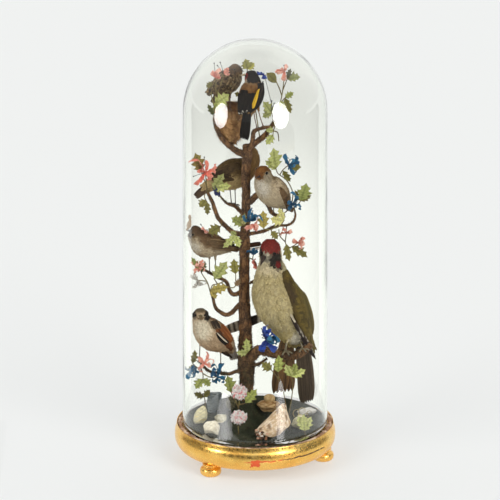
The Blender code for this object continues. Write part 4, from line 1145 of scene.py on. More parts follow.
BARK = bark_material()
ROCK = rock_material()
make_ground()
make_undergrowth()
make_tree()
make_nest()
for label, stone in STONES.items():
    make_stone(label, *stone)
make_fungus()


# Sprigs of wire, cloth leaves, curled cloth petals and beads.
# Stems are lines of points, leaves are base, tip, half width and cloth, flowers are middle, petal tips,
# half width and cloth, blooms are middle and radius. Every leaf, flower and later stem starts at the
# nearest point of the sprig's wires.

SPRIGS = {
    "sprig_crown_left": {
        "stems": (
            ((-66, -24, 600), (-66, -27, 620), (-64, -26, 639), (-64, -22, 668)),
            ((-64, -26, 637), (-57, -22, 654), (-51, -16, 673)),
            ((-66, -27, 618), (-71, -27, 640), (-70, -26, 664)),
        ),
        "leaves": (
            ((-66, -27, 625), (-42, -25, 641), 12, "light"),
            ((-70, -26, 662), (-79, -28, 653), 5, "olive"), ((-66, -25, 604), (-77, -27, 625), 5, "dark"),
            ((-66, -26, 612), (-58, -29, 636), 6, "green"),
        ),
        "flowers": (
            ((-63, -21, 671), ((-71, -23, 683), (-55, -23, 682), (-58, -23, 664)), 3.4, "salmon"),
            ((-51, -16, 673), ((-42, -15, 682), (-43, -15, 671)), 3, "salmon"),
        ),
    },
    "sprig_crown_middle": {
        "stems": (
            ((8, 4, 555), (3, 5, 588), (-3, 0, 629), (-12, -2, 663), (-13, -4, 680)),
            ((-3, 0, 627), (-14, -10, 633), (-20, -13, 635)),
        ),
        "leaves": (
            ((-13, -4, 677), (-16, -6, 695), 10, "yellow"), ((-13, -4, 677), (-1, -5, 688), 7, "yellow"),
            ((-18, -12, 635), (-34, -16, 640), 6, "olive"),
        ),
    },
    "sprig_crown_right": {
        "stems": (
            ((33, 8, 584), (39, 8, 608), (44, 8, 629), (47, 5, 655), (48, 4, 671)),
            ((44, 8, 628), (38, 2, 646), (28, -5, 666), (15, -8, 668)), ((45, 7, 636), (53, 8, 658)),
            ((41, 8, 614), (50, 9, 625)),
        ),
        "leaves": (
            ((35, -1, 653), (18, -7, 672), 7, "ovate"), ((53, 8, 656), (74, 10, 659), 8, "green"),
            ((53, 8, 656), (58, 6, 675), 5, "dark"), ((49, 9, 624), (63, 10, 633), 6, "green"),
            ((49, 9, 624), (59, 6, 598), 7, "olive"), ((42, 8, 620), (46, 3, 600), 6, "light"),
        ),
        "flowers": (
            ((48, 4, 673), ((52, 2, 686), (31, 2, 672), (48, 1, 656)), 4, "salmon"),
            ((13, -9, 668), ((6, -11, 673), (17, -10, 662)), 3.4, "royal"),
        ),
    },
    "sprig_fork_right": {
        "stems": (
            ((30, 8, 580), (29, 1, 594), (26, -3, 604)),
            ((29, 4, 586), (32, -2, 578), (30, -3, 571), (29, -4, 562)),
            ((30, -3, 571), (37, -4, 568), (39, -5, 554)),
        ),
        "leaves": (
            ((27, -3, 601), (13, -5, 622), 9, "light"), ((27, -3, 602), (12, -5, 595), 7, "light"),
            ((28, -3, 571), (17, -6, 574), 6, "light"), ((29, -3, 565), (18, -8, 549), 8, "light"),
        ),
    },
    "sprig_left_upper": {
        "stems": (
            ((-77, -10, 464), (-80, -13, 480), (-85, -15, 495), (-89, -15, 508)),
            ((-80, -13, 480), (-81, -18, 505)), ((-79, -12, 474), (-83, -16, 462), (-79, -17, 453)),
        ),
        "leaves": (
            ((-89, -15, 505), (-98, -17, 538), 11, "ochre"),
            ((-80, -17, 456), (-91, -20, 445), 8, "olive"), ((-79, -17, 454), (-78, -20, 431), 6, "olive"),
        ),
        "flowers": (
            ((-81, -18, 504),
             ((-79, -21, 532), (-63, -21, 515), (-71, -21, 494), (-99, -21, 483), (-95, -21, 511)), 4,
             "coral"),
        ),
    },
    "sprig_left_inner": {
        "stems": (((-47, 32, 435), (-57, 22, 448), (-64, 8, 464), (-70, 0, 470)),),
        "leaves": (
            ((-69, 1, 469), (-51, -4, 498), 9, "light"), ((-69, 1, 469), (-39, -4, 477), 9, "light"),
        ),
        "flowers": (((-66, 3, 467), ((-58, -2, 460), (-61, -2, 470)), 4, "navy"),),
    },
    "sprig_centre": {
        "stems": (
            ((-17, -2, 400), (-12, -14, 408), (-11, -20, 420)), ((-12, -14, 407), (-2, -20, 415)),
            ((-12, -14, 408), (-22, -19, 415)),
        ),
        "leaves": (
            ((-19, -18, 413), (-39, -21, 427), 10, "green"), ((-18, -18, 414), (-17, -18, 434), 6, "pale"),
        ),
        "flowers": (
            ((-9, -22, 425), ((-19, -24, 430), (-4, -24, 447), (4, -24, 434)), 4, "teal"),
            ((-2, -22, 415), ((-15, -25, 411), (7, -25, 421), (1, -25, 407)), 4, "salmon"),
        ),
    },
    "sprig_left_middle": {
        "stems": (((-56, -12, 417), (-56, -18, 412), (-66, -19, 405), (-83, -19, 405)),),
        "leaves": (((-57, -18, 411), (-77, -21, 400), 10, "olive"),),
        "flowers": (((-83, -19, 405), ((-88, -21, 413), (-79, -21, 399)), 3, "salmon"),),
    },
    "sprig_wing_leaf": {
        "stems": (((-19, -4, 378), (-27, -16, 390), (-33, -21, 397)),),
        "leaves": (
            ((-32, -20, 397), (-53, -26, 376), 7, "light"), ((-32, -20, 397), (-25, -24, 376), 7, "light"),
            ((-32, -20, 396), (-40, -24, 405), 6, "light"),
        ),
    },
    "sprig_right_centre": {
        "stems": (
            ((33, -16, 410), (26, -20, 406), (14, -18, 407), (13, -16, 413)),
            ((28, -19, 407), (40, -24, 413), (48, -24, 424)), ((27, -20, 406), (27, -21, 400)),
        ),
        "leaves": (
            ((14, -18, 407), (13, -16, 438), 10, "ochre"), ((48, -23, 421), (25, -27, 428), 9, "pale"),
            ((48, -23, 422), (39, -24, 446), 6, "pale"), ((26, -20, 403), (37, -22, 390), 7, "olive"),
        ),
    },
    "sprig_right_upper": {
        "stems": (
            ((46, -13, 430), (58, -2, 440), (62, 8, 460), (52, 14, 480), (38, 12, 492), (34, 4, 505)),
            ((40, 13, 489), (46, 6, 501), (55, -2, 512)),
        ),
        "leaves": (
            ((34, 4, 503), (30, 0, 541), 12, "light"), ((35, 6, 501), (16, 3, 518), 7, "light"),
            ((46, 6, 499), (58, 6, 480), 6, "olive"), ((53, 0, 510), (76, -2, 508), 6, "ovate"),
        ),
        "flowers": (((54, -3, 512), ((48, -6, 529), (68, -6, 531), (66, -6, 497)), 4, "teal"),),
    },
    "sprig_right_middle": {
        "stems": (
            ((65, -17, 436), (64, -20, 445), (61, -21, 451)),
            ((64, -20, 444), (72, -15, 450), (76, -13, 456)),
        ),
        "leaves": (
            ((75, -13, 453), (84, -14, 485), 12, "green"), ((75, -13, 453), (65, -12, 472), 5, "olive"),
            ((75, -13, 453), (92, -13, 463), 6, "olive"),
        ),
        "flowers": (
            ((61, -21, 450), ((52, -24, 462), (66, -24, 471), (57, -24, 443), (75, -24, 444)), 4, "teal"),
        ),
    },
    "sprig_right_lower": {
        "stems": (
            ((51.6, -17.2, 413.4), (51, -12, 394), (50, -4, 377), (57, -1, 368), (72, -4, 378)),
            ((50, -5, 379), (41, -7, 390), (39, -12, 403)),
        ),
        "leaves": (
            ((50, -4, 374), (57, -5, 345), 7.6, "olive"), ((60, -2, 370), (86.4, -4.6, 352), 8.2, "olive"),
        ),
        "flowers": (
            ((71, -4, 378), ((60, -8, 383), (84, -8, 385), (78, -8, 371)), 4, "salmon"),
            ((51, -13, 397), ((43, -17, 404), (62, -17, 404)), 3.4, "salmon"),
        ),
    },
    "sprig_trunk_blue": {
        "stems": (
            ((-17.4, -0.4, 351), (-8, -8, 351.5), (-2, -10.5, 349), (2, -10, 342), (3, 4, 322),
             (-2, 12, 302)),
            ((-4, -9, 350), (-3, -12, 359)),
        ),
        "leaves": (((-1, 10, 308), (-11, 14, 298), 3.2, "twig"),),
        "flowers": (
            ((-3, -12, 360), ((-9, -13, 368), (2, -13, 369)), 3, "teal"),
            ((1, -10, 344), ((-7.4, -12, 345.5), (-1.6, -12, 335)), 2.6, "coral"),
        ),
    },
    "sprig_left_low_flowers": {
        "stems": (
            ((-74, -14, 296), (-79, -18, 314), (-87, -20, 328), (-92, -20, 342)),
            ((-80, -18, 315), (-95, -21, 318)),
        ),
        "leaves": (
            ((-88, -20, 331), (-82, -22, 352), 5, "dark"), ((-90, -20, 337), (-105, -17, 357), 5, "green"),
        ),
        "flowers": (
            ((-92, -20, 341), ((-101, -23, 350), (-86, -24, 353), (-102, -23, 334), (-82, -23, 335)), 4,
             "salmon"),
            ((-94, -21, 317), ((-103, -23, 328), (-102, -23, 304), (-86, -23, 307)), 4, "white"),
        ),
    },
    "sprig_left_low_leaves": {
        "stems": (
            ((-50, -8, 312), (-60, -16, 310), (-70, -18, 308), (-74, -20, 298)),
            ((-62, -16, 310), (-68, -18, 320)),
            ((-56, -13, 311), (-45, -18, 305), (-33, -15, 305), (-32, -13, 328)),
        ),
        "leaves": (
            ((-68, -18, 318), (-46, -15, 349), 12, "light"),
            ((-32, -13, 326), (-35, -11, 352), 9, "olive"), ((-73, -19, 300), (-44, -23, 307), 9, "ochre"),
            ((-73, -19, 300), (-64, -23, 286), 6, "ochre"), ((-33, -15, 306), (-24, -17, 318), 6, "dusky"),
        ),
    },
    "sprig_sparrow": {
        "stems": (
            ((-86, -24, 168), (-94, -30, 167), (-103, -29, 175)),
            ((-90, -27, 167), (-86, -31, 156), (-86, -31, 146)),
            ((-86, -31, 158), (-74, -31, 151), (-62, -29, 151)), ((-91, -28, 167), (-83, -33, 176)),
        ),
        "leaves": (
            ((-103, -29, 174), (-99, -27, 198), 6, "olive"),
            ((-101, -29, 172), (-110, -29, 161), 4, "olive"),
            ((-86, -31, 148), (-98, -31, 130), 8, "green"), ((-86, -31, 148), (-74, -31, 135), 7, "green"),
        ),
        "flowers": (
            ((-101, -30, 172), ((-108, -32, 148), (-92, -32, 154)), 4, "teal"),
            ((-83, -32, 176), ((-95, -34, 187), (-74, -34, 190), (-95, -34, 168), (-73, -34, 172)), 4,
             "salmon"),
            ((-62, -29, 151), ((-73, -31, 166), (-59, -31, 171), (-68, -31, 141), (-49, -31, 149)), 4,
             "teal"),
        ),
    },
    "sprig_carnations": {
        "stems": (
            ((-27, -66, 61), (-28, -63, 80), (-28, -58, 97), (-26, -50, 115), (-25, -46, 128)),
            ((-27, -54, 106), (-34, -44, 117), (-41, -38, 130)), ((-26, -52, 110), (-14, -48, 112)),
            ((-28, -62, 84), (-27, -66, 92)),
        ),
        "leaves": (
            ((-40, -39, 126), (-46, -36, 156), 10, "green"), ((-16, -48, 111), (3, -44, 135), 9, "green"),
        ),
        "blooms": (((-25, -47, 130), 14), ((-27, -68, 94), 14)),
    },
    "sprig_trunk_leaf": {
        "stems": (((-14, -4, 186), (-13, -19, 189)),),
        "leaves": (
            ((-13, -18, 187), (-15, -20, 216), 8, "light"), ((-13, -18, 188), (-31, -21, 191), 6, "light"),
        ),
    },
    "sprig_perch_blue": {
        "stems": (((5, -14, 193), (5, -38, 203), (11, -52, 214), (18, -56, 226)),),
        "flowers": (
            ((19, -57, 227), ((14, -60, 250), (26, -60, 240), (9, -60, 208), (33, -60, 207)), 6, "royal"),
            ((19, -57, 227), ((37, -61, 224), (38, -60, 231)), 6.5, "teal"),
        ),
    },
    "sprig_low_right": {
        "stems": (
            ((56, -42, 61), (48, -46, 124), (39, -48, 156), (37, -48, 171)),
            ((54, -43, 78), (60, -48, 118), (62, -49, 146), (59, -49, 163)),
            ((40, -48, 152), (26, -47, 171)),
        ),
        "leaves": (
            ((37, -48, 166), (39, -50, 197), 10, "green"), ((27, -47, 170), (11, -47, 183), 9, "olive"),
            ((60, -49, 159), (50, -52, 182), 8, "light"), ((60, -49, 159), (83, -51, 172), 8, "light"),
            ((60, -49, 160), (68, -52, 184), 7, "green"),
        ),
    },
    "sprig_ground_right": {
        "stems": (((82, -62, 61), (81, -60, 70)),),
        "leaves": (
            ((81, -60, 67), (70, -56, 92), 8, "light"), ((81, -60, 67), (92, -54, 90), 8, "light"),
            ((81, -60, 67), (80, -56, 96), 7, "light"),
        ),
    },
    "sprig_ground_left": {
        "stems": (((-83, 8, 61), (-83, 6, 90), (-85, 2, 104), (-92, -2, 112)),),
        "leaves": (
            ((-85, 2, 103), (-102, -4, 113), 6, "olive"), ((-85, 2, 103), (-75, -2, 118), 6, "olive"),
        ),
    },
}

BEADS = {
    "sprig_crown_left": ((-66, -22, 692), (-61, -22, 688.4), (-56.3, -22, 693.6)),
    "sprig_left_upper": ((-100.5, -19, 498), (-83, -19, 531)),
    "sprig_left_middle": ((-89, -20, 415),),
    "sprig_perch_blue": ((10.5, -60, 247), (11.4, -61, 237), (12.2, -61, 231.6)),
    "sprig_crown_right": ((47, 0, 682), (29, -1, 607)),
    "sprig_right_upper": ((57, -6, 522),),
    "sprig_centre": ((-4, -25, 440),),
    "sprig_fork_right": ((27, -2, 622), (31, -2, 618)),
}
LEAF_TONES = {
    "light": ((174, 182, 98), (212, 212, 146)),
    "green": ((140, 150, 70), (180, 184, 108)),
    "olive": ((112, 106, 46), (146, 140, 72)),
    "ovate": ((104, 98, 42), (136, 130, 64)),
    "dark": ((78, 84, 40), (108, 110, 58)),
    "ochre": ((158, 142, 66), (190, 172, 96)),
    "yellow": ((158, 154, 58), (190, 184, 92)),
    "pale": ((188, 182, 110), (210, 204, 140)),
    "dusky": ((136, 108, 72), (166, 132, 96)),
    "twig": ((110, 80, 48), (136, 104, 66)),
}
PETAL_TONES = {
    "salmon": ((222, 122, 104), (248, 192, 170)),
    "coral": ((214, 86, 70), (246, 156, 134)),
    "teal": ((16, 62, 100), (52, 118, 152)),
    "royal": ((22, 42, 124), (50, 86, 178)),
    "navy": ((24, 34, 74), (48, 60, 110)),
    "white": ((176, 170, 160), (232, 228, 218)),
}
# Outlines of half a leaf: share of the length and of the half width
LOBED = (
    (0.0, 0.04), (0.05, 0.20), (0.13, 0.62), (0.17, 0.86), (0.22, 0.60), (0.28, 0.50), (0.38, 0.84),
    (0.45, 1.0), (0.50, 0.66), (0.57, 0.44), (0.66, 0.58), (0.72, 0.66), (0.77, 0.40), (0.86, 0.24),
    (1.0, 0.0),
)
OVATE = (
    (0.0, 0.06), (0.08, 0.40), (0.2, 0.72), (0.34, 0.92), (0.45, 1.0), (0.6, 0.88), (0.75, 0.60),
    (0.88, 0.28), (1.0, 0.0),
)
CLOTH_THICKNESS = 0.3
WIRE_STEPS = 26
LEAF_ROWS = 30
LEAF_COLUMNS = 9
VEINS = 7
VEIN_SLANT = 0.22
# Rings of a carnation: petals, share of the radius and lean towards the front
CARNATION_RINGS = ((11, 1.0, 0.06), (10, 0.82, 0.42), (8, 0.62, 0.85), (6, 0.42, 1.25))


def nearest_on_wires(point, wires):
    """The point of the wires' centre lines that lies nearest to a point."""
    target = floats(point)
    spots = []
    for line in wires:
        for low, high in zip(line, line[1:]):
            low, high = floats(low), floats(high)
            step = high - low
            share = np.clip((target - low) @ step / (step @ step), 0, 1)
            spots.append(low + step * share)
    return min(spots, key=lambda spot: np.linalg.norm(spot - target))


def add_leaf(form, base, tip, half_width, cloth, rng, tilt):
    """A stiffened cloth leaf with lobes or fine teeth, a folded midrib, side veins and a curl."""
    base, tip = floats(base), floats(tip)
    along = tip - base
    length = np.linalg.norm(along)
    facing = np.array([math.sin(tilt), -math.cos(tilt), 0.3])
    across = unit(np.cross(along, facing))
    normal = unit(np.cross(across, along))
    t = np.linspace(0, 1, LEAF_ROWS)
    s = np.linspace(-1, 1, LEAF_COLUMNS)
    outline = OVATE if cloth == "ovate" else LOBED
    half = np.interp(t, *np.array(outline).T)
    teeth = 0.05 * (2 * np.abs((t * 11) % 1 - 0.5) - 0.5) * ramp_up(0, 0.15, t) * ramp_up(1, 0.85, t)
    wide = (half[:, None] * (1 + 0.10 * rng.normal() * s) + teeth[:, None]) * half_width * 1.14
    # side lobes reach forward along the leaf
    forward = np.abs(s) ** 2 * half[:, None] * 0.13 * length * ramp_up(1, 0.7, t)[:, None]
    fold = rng.uniform(0.1, 0.32)
    curl = rng.uniform(-0.06, 0.12)
    lift = fold * np.abs(s) * wide + curl * length * np.sin(t * math.pi)[:, None]
    lift = lift + 0.05 * half_width * np.sin(t * 19 + rng.uniform(0, 6))[:, None] * s ** 2
    points = (base + along * t[:, None, None] + unit(along) * forward[..., None]
              + across * (wide * s)[..., None] + normal * lift[..., None])
    form.grid(points, leaf_tone(cloth, t, s, points, rng))


def leaf_tone(cloth, t, s, points, rng):
    """Cloth with pale veins, darker stretches between them, a dark rib and a browned edge."""
    low, high = floats(LEAF_TONES[cloth])
    veins = (t[:, None] - np.abs(s) * VEIN_SLANT) * VEINS
    vein = np.abs(veins % 1 - 0.5) < 0.10
    between = (np.abs((veins + 0.5) % 1 - 0.5) < 0.08) & (np.abs(s) > 0.2)
    patch = waves(points, 7, rng.integers(1e6))
    tone = blend(low, high, ramp_up(-0.7, 0.8, patch) * 0.75)
    tone = blend(tone, high * 1.12, vein * 0.45)
    tone = blend(tone, low * 0.62, (np.abs(s) < 0.08) * 0.6)
    tone = blend(tone, low * 0.6, between * 0.5) * rng.uniform(0.86, 1.12)
    edge = ramp_up(0.72, 1.0, np.abs(s)) * (0.1 + 0.3 * rng.uniform())
    return np.clip(blend(tone, (96, 76, 38), edge), 0, 255)


def add_petal(form, middle, tip, half_width, cloth, rng):
    """A ribbon of cloth from the flower's middle, cupped, frilled and rolled up at its tip."""
    middle, tip = floats(middle), floats(tip)
    length = np.linalg.norm(tip - middle)
    along = (tip - middle) / length
    front = unit(np.array([0, -1, 0.25]) + rng.normal(0, 0.3, 3))
    front = unit(front - along * front.dot(along))
    lean = rng.normal(0, 0.75)
    across = np.cross(along, front)
    bend = front * math.cos(lean) + across * math.sin(lean)
    side = np.cross(along, bend)
    t = np.linspace(0, 1, 18)
    s = np.linspace(-1, 1, 5)
    roll = rng.choice([-1, 1]) * rng.uniform(1.1, 3.3)
    turn = roll * ramp_up(0.35, 1.0, t) ** 1.4 - rng.uniform(-0.5, 0.5)
    heading = along * np.cos(turn)[:, None] + bend * np.sin(turn)[:, None]
    path = np.cumsum(heading, axis=0)
    path = middle + (path - path[0]) * (length / max((path @ along).max(), 1.0))
    across_turn = rng.uniform(-0.8, 0.8) * t
    level = unit(np.cross(side, heading))
    wing = side * np.cos(across_turn)[:, None] + level * np.sin(across_turn)[:, None]
    wide = half_width * np.interp(t, (0, 0.2, 0.55, 0.85, 1.0), (0.35, 0.85, 1.35, 1.15, 0.45))
    wide *= 1 - 0.14 * np.sin(t * 17 + rng.uniform(0, 6))
    frill = 0.22 * np.sin(t * 21 + rng.uniform(0, 6))[:, None] * np.abs(s) ** 3
    height = (rng.uniform(0.15, 0.5) * s ** 2 + frill) * wide[:, None]
    points = (path[:, None] + wing[:, None] * (wide[:, None] * s)[..., None]
              + level[:, None] * height[..., None])
    low, high = PETAL_TONES[cloth]
    light = ramp_up(0.0, 0.6, t)[:, None] * 0.6 + 0.45 * np.abs(s) ** 2 + 0.2 * rng.normal()
    form.grid(points, blend(low, high, np.clip(light, 0, 1.15)))


def add_bead(form, start, spot):
    """A black bead on a fine wire from the flower's middle."""
    start, spot = floats(start), floats(spot)
    path = smooth([start, (start + spot) / 2 + (0, -1.2, 0.6), spot], 8)
    tube(form, np.column_stack([path, np.full(8, 0.28)]), 5, (40, 34, 26))
    ball = lathe([(max(math.sin(b), 0.02), -math.cos(b)) for b in np.linspace(0, math.pi, 8)], 9)
    form.grid(ball + spot, (14, 14, 20), closed=True)


def add_pinked_petal(form, middle, angle, reach, width, lean, ring, rng):
    """A rippled petal with a notched end that leans from the flower's plane towards the front."""
    out = np.array([math.cos(angle), 0, math.sin(angle)])
    side = np.array([-math.sin(angle), 0, math.cos(angle)])
    t = np.linspace(0.06, 1, 7)[:, None]
    s = np.linspace(-1, 1, 9)
    notch = 1 - 0.34 * np.abs(((s + 1) * 2.6) % 1 - 0.5) * (t > 0.95)
    leaning = lean + rng.normal(0, 0.12)
    run = t * reach * notch * rng.uniform(0.88, 1.06)
    ripple = 0.26 * reach * t ** 2 * np.sin(s * 7 + rng.uniform(0, 6))
    radial = run * math.cos(leaning) + ripple * math.sin(leaning)
    height = run * math.sin(leaning) * 0.8 + ripple * math.cos(leaning)
    points = (middle + out * radial[..., None] + side * (width * t ** 0.9 * s)[..., None]
              + FORWARD * (height + ring * 0.8 - 2)[..., None])
    blush = ramp_up(0.7, 0.2, t) + 0.35 * ramp_up(0.3, 0.9, -np.sin(angle)) * (ring > 0)
    blush = np.clip(0.25 * blush + ramp_up(0.1, 0.6, waves(points, 7, 91, 2)), 0, 1)
    # Each petal is painted a little darker near its foot: painted shade in the heart of the flower.
    feet = 0.96 + 0.04 * ramp_up(0.05, 0.4, t)[..., None]
    form.grid(points, blend((255, 253, 248), (248, 132, 134), blush * 0.8) * feet)


def add_carnation(form, middle, radius, rng):
    """A pinked carnation: rings of notched petals, pink in patches and pale at the edges."""
    for ring, (count, share, lean) in enumerate(CARNATION_RINGS):
        reach = radius * share
        width = reach * math.tan(math.pi / count) * 1.5
        for k in range(count):
            angle = math.tau * (k + 0.5 * (ring % 2)) / count + rng.normal(0, 0.1)
            add_pinked_petal(form, floats(middle), angle, reach, width, lean, ring, rng)


def cloth_material():
    cloth = Shade("painted cloth", Roughness=0.75, Specular_IOR_Level=0.3, Sheen_Weight=0.15)
    weave = cloth.cells(0.55, stretch=(1, 1, 1.3))
    stain = cloth.fit(cloth.noise(2.5, detail=5), 0.4, 0.7, 0.0, 0.28)
    cloth.put("Base Color", cloth.mix(stain, cloth.painted(), (60, 58, 26)))
    cloth.put("Normal", cloth.bump(cloth.noise(1.4, detail=4), 0.35, 0.6, cloth.bump(weave, 0.12, 0.5)))
    return cloth.material


def add_wires(form, wires, seed):
    """Wrapped wires that taper a little."""
    for points in wires:
        line = even(smooth(points, 40), WIRE_STEPS)
        tone = blend((92, 72, 40), (128, 116, 62), ramp_up(-0.6, 0.6, waves(line, 12, seed)))
        rows = np.column_stack([line, np.linspace(0.85, 0.6, WIRE_STEPS)])
        tube(form, rows, 6, np.repeat(tone[:, None], 6, axis=1))


def add_flower(form, middle, tips, half_width, tone, rng):
    """A petal to each tip, and two shorter ones inside each."""
    for tip in tips:
        add_petal(form, middle, tip, half_width * 0.66, tone, rng)
        for share in (rng.uniform(0.6, 0.85), rng.uniform(0.4, 0.6)):
            inner = middle + (floats(tip) - middle) * share + rng.normal(0, 2.6, 3)
            add_petal(form, middle, inner, half_width * 0.55, tone, rng)


def make_sprig(name, sprig, cloth, index):
    """The wires of one sprig with its leaves, flowers and beads, as one piece."""
    rng = np.random.default_rng(900 + index)
    form = Form()
    wires = [sprig["stems"][0]]
    for points in sprig["stems"][1:]:
        wires.append((tuple(nearest_on_wires(points[0], wires)), *points[1:]))
    add_wires(form, wires, 40 + index)
    for j, (base, tip, half_width, tone) in enumerate(sprig.get("leaves", ())):
        tilt = 0.35 * math.sin(2.3 * j + 1)
        add_leaf(form, nearest_on_wires(base, wires), tip, half_width, tone, rng, tilt)
    middles = []
    for middle, *flower in sprig.get("flowers", ()):
        middles.append(nearest_on_wires(middle, wires))
        add_flower(form, middles[-1], *flower, rng)
    for middle, radius in sprig.get("blooms", ()):
        add_carnation(form, middle, radius, rng)
    for spot in BEADS.get(name, ()):
        starts = middles or [nearest_on_wires(spot, wires)]
        add_bead(form, min(starts, key=lambda m: np.linalg.norm(np.subtract(m, spot))), spot)
    form.make(name + "_cloth", cloth, "cloth_foliage", [name], thickness=CLOTH_THICKNESS)


CLOTH = cloth_material()
for index, (label, sprig) in enumerate(SPRIGS.items()):
    make_sprig(label, sprig, CLOTH, index)


# The birds

BODY_RINGS = 60
BODY_SEGMENTS = 40
LEAST_HALF = 0.4
# Feathers: places along a plume and its share of the width there
PLUME_STEPS = np.array([0.0, 0.4, 0.84, 1.0])
PLUME_SPREAD = np.array([0.5, 1.0, 0.88, 0.25])
QUILL_STEPS = (0, 0.12, 0.5, 0.8, 0.93, 1.0)
QUILL_SPREAD = (0.35, 0.75, 1.0, 0.95, 0.62, 0.12)
QUILL_BOW = 0.05
QUILL_STACK = 0.35
BEAK_GAPE = 0.2
TOES = ((0.5, -1, 0), (-0.5, -1, 0), (0, -1.1, 0.1), (0, 1, 0))
MOTTLE = 0.09
PUPIL = (16, 12, 10)


class Hide:
    """The surface of a lofted form, from rows of centre, half height and half depth."""

    def __init__(self, rows, rings=BODY_RINGS, segments=BODY_SEGMENTS, lump=0.0, seed=1):
        rows = smooth(rows, rings)
        path, size = rows[:, :3], np.maximum(rows[:, 3:5], LEAST_HALF)
        tangents = unit(np.gradient(path, axis=0))
        depth = unit(np.array([0.0, 1.0, 0.0]) - tangents * tangents[:, 1:2])
        height = np.cross(tangents, depth)
        a = circle(segments)
        ring = (height[:, None] * (size[:, :1] * np.cos(a))[..., None]
                + depth[:, None] * (size[:, 1:] * np.sin(a))[..., None])
        self.points = path[:, None] + ring
        if lump:
            push = waves(self.points, 15, seed, 2)
            self.points = self.points + unit(ring) * (lump * push)[..., None]
        self.tangents = tangents
        around = np.roll(self.points, -1, axis=1) - np.roll(self.points, 1, axis=1)
        along = np.gradient(self.points, axis=0)
        self.normals = unit(np.cross(along, around))
        self.around = unit(around)
        steps = np.linalg.norm(along, axis=2).mean(axis=1)
        self.length = steps.sum()
        girth = np.linalg.norm(around, axis=2).sum(axis=1) / 2
        weight = girth * steps
        self.area = weight.sum()
        self.weight = weight / weight.sum()

    def look_up(self, table, u, phi):
        """Values of a table of the surface at shares u along it and angles phi round it."""
        rings, segments = self.points.shape[:2]
        x = np.clip(u, 0, 1) * (rings - 1)
        y = (phi / math.tau % 1) * segments
        i, j = np.minimum(x.astype(int), rings - 2), y.astype(int) % segments
        fx, fy = (x - i)[..., None], (y - np.floor(y))[..., None]
        k = (j + 1) % segments
        low = table[i, j] * (1 - fy) + table[i, k] * fy
        high = table[i + 1, j] * (1 - fy) + table[i + 1, k] * fy
        return low * (1 - fx) + high * fx

    def scatter(self, count, rng):
        """Even places over the surface."""
        places = (np.arange(count) + 0.5) / count
        passed = np.concatenate([[0], np.cumsum(self.weight)])
        u = np.interp(places, passed, np.linspace(0, 1, len(passed)))
        phi = np.arange(count) * GOLDEN + rng.normal(0, 0.05, count)
        return u, phi


def paint(layers, points, normals):
    """Plumage colours: a first colour, and layers each laid over the ones before it."""
    points, normals = floats(points), floats(normals)
    tone = np.broadcast_to(floats(layers[0]), points.shape).copy()
    for kind, where, low, high, colour, strength in layers[1:]:
        where = floats(where)
        if kind == "beyond":
            mask = ramp_up(low, high, points @ where)
        elif kind == "facing":
            mask = ramp_up(low, high, normals @ unit(where))
        elif kind == "spot":
            size = floats(high)
            away = np.linalg.norm((points - where) / size, axis=-1)
            mask = ramp_up(1.0 + low, 1.0 - low, away)
        else:
            mask = ramp_up(low, high, waves(points * where, 1.0, 17, 2))
        tone = blend(tone, colour, mask * strength)
    return tone


def add_hide(form, hide, layers, depth=0.88):
    """The skin under the feathers, painted a little darker than they are as shade between them."""
    tone = (paint(layers, hide.points, hide.normals) * depth)[:, ::-1]
    points = hide.points[:, ::-1]
    form.grid(points, tone, closed=True)
    form.cap(points[0][::-1], tone[0].mean(axis=0))
    form.cap(points[-1], tone[-1].mean(axis=0))


def add_plumage(form, hide, layers, rng, size, lift, edge, shaft, cover=2.2, span=(0.0, 1.0),
                mottle=MOTTLE):
    """Contour feathers that lie from head to tail over a surface and overlap like tiles."""
    length, width = size
    u, phi = hide.scatter(int(hide.area * cover / (length * width)), rng)
    keep = (u > span[0]) & (u < span[1])
    u, phi = u[keep], phi[keep]
    n = len(u)
    small = 0.55 + 0.45 * ramp_up(1.0, 0.78, u)
    reach = length * small * rng.uniform(0.8, 1.2, n)
    wide = width * small * rng.uniform(0.85, 1.15, n)
    turn = rng.normal(0, 0.11, n)
    us = u[:, None] - PLUME_STEPS * (reach / hide.length)[:, None]
    phis = phi[:, None] + PLUME_STEPS * turn[:, None] * 0.4
    us_low = np.clip(us, 0.0, 1.0)
    normal = unit(hide.look_up(hide.normals, us_low, phis))
    side = unit(hide.look_up(hide.around, us_low, phis))
    # a feather at the end of the surface goes on straight beyond it
    beyond = (us_low - us) * hide.length
    centre = hide.look_up(hide.points, us_low, phis) - hide.tangents[0] * beyond[..., None]
    rise = (-0.2 + lift * PLUME_STEPS ** 1.5) * rng.uniform(0.5, 1.5, n)[:, None] * small[:, None] + 0.15
    centre = centre + normal * rise[..., None]
    half = side * (wide[:, None] * PLUME_SPREAD / 2)[..., None]
    arch = normal * (wide[:, None] * PLUME_SPREAD * 0.10)[..., None]
    points = np.stack([centre - half, centre + arch, centre + half], axis=2)
    tone = paint(layers, hide.look_up(hide.points, u, phi), unit(hide.look_up(hide.normals, u, phi)))
    tone = tone * rng.uniform(1 - mottle, 1 + mottle, (n, 1))
    tones = np.repeat(np.repeat(tone[:, None, None], 4, axis=1), 3, axis=2)
    tones[:, :, 1] *= 1 - shaft
    tones[:, 3:] = tones[:, 3:] * (1 + edge)
    # The root of each feather is painted darker: painted shade between the feathers.
    tones[:, :1] *= 0.85
    form.strips(points, np.clip(tones, 0, 255))


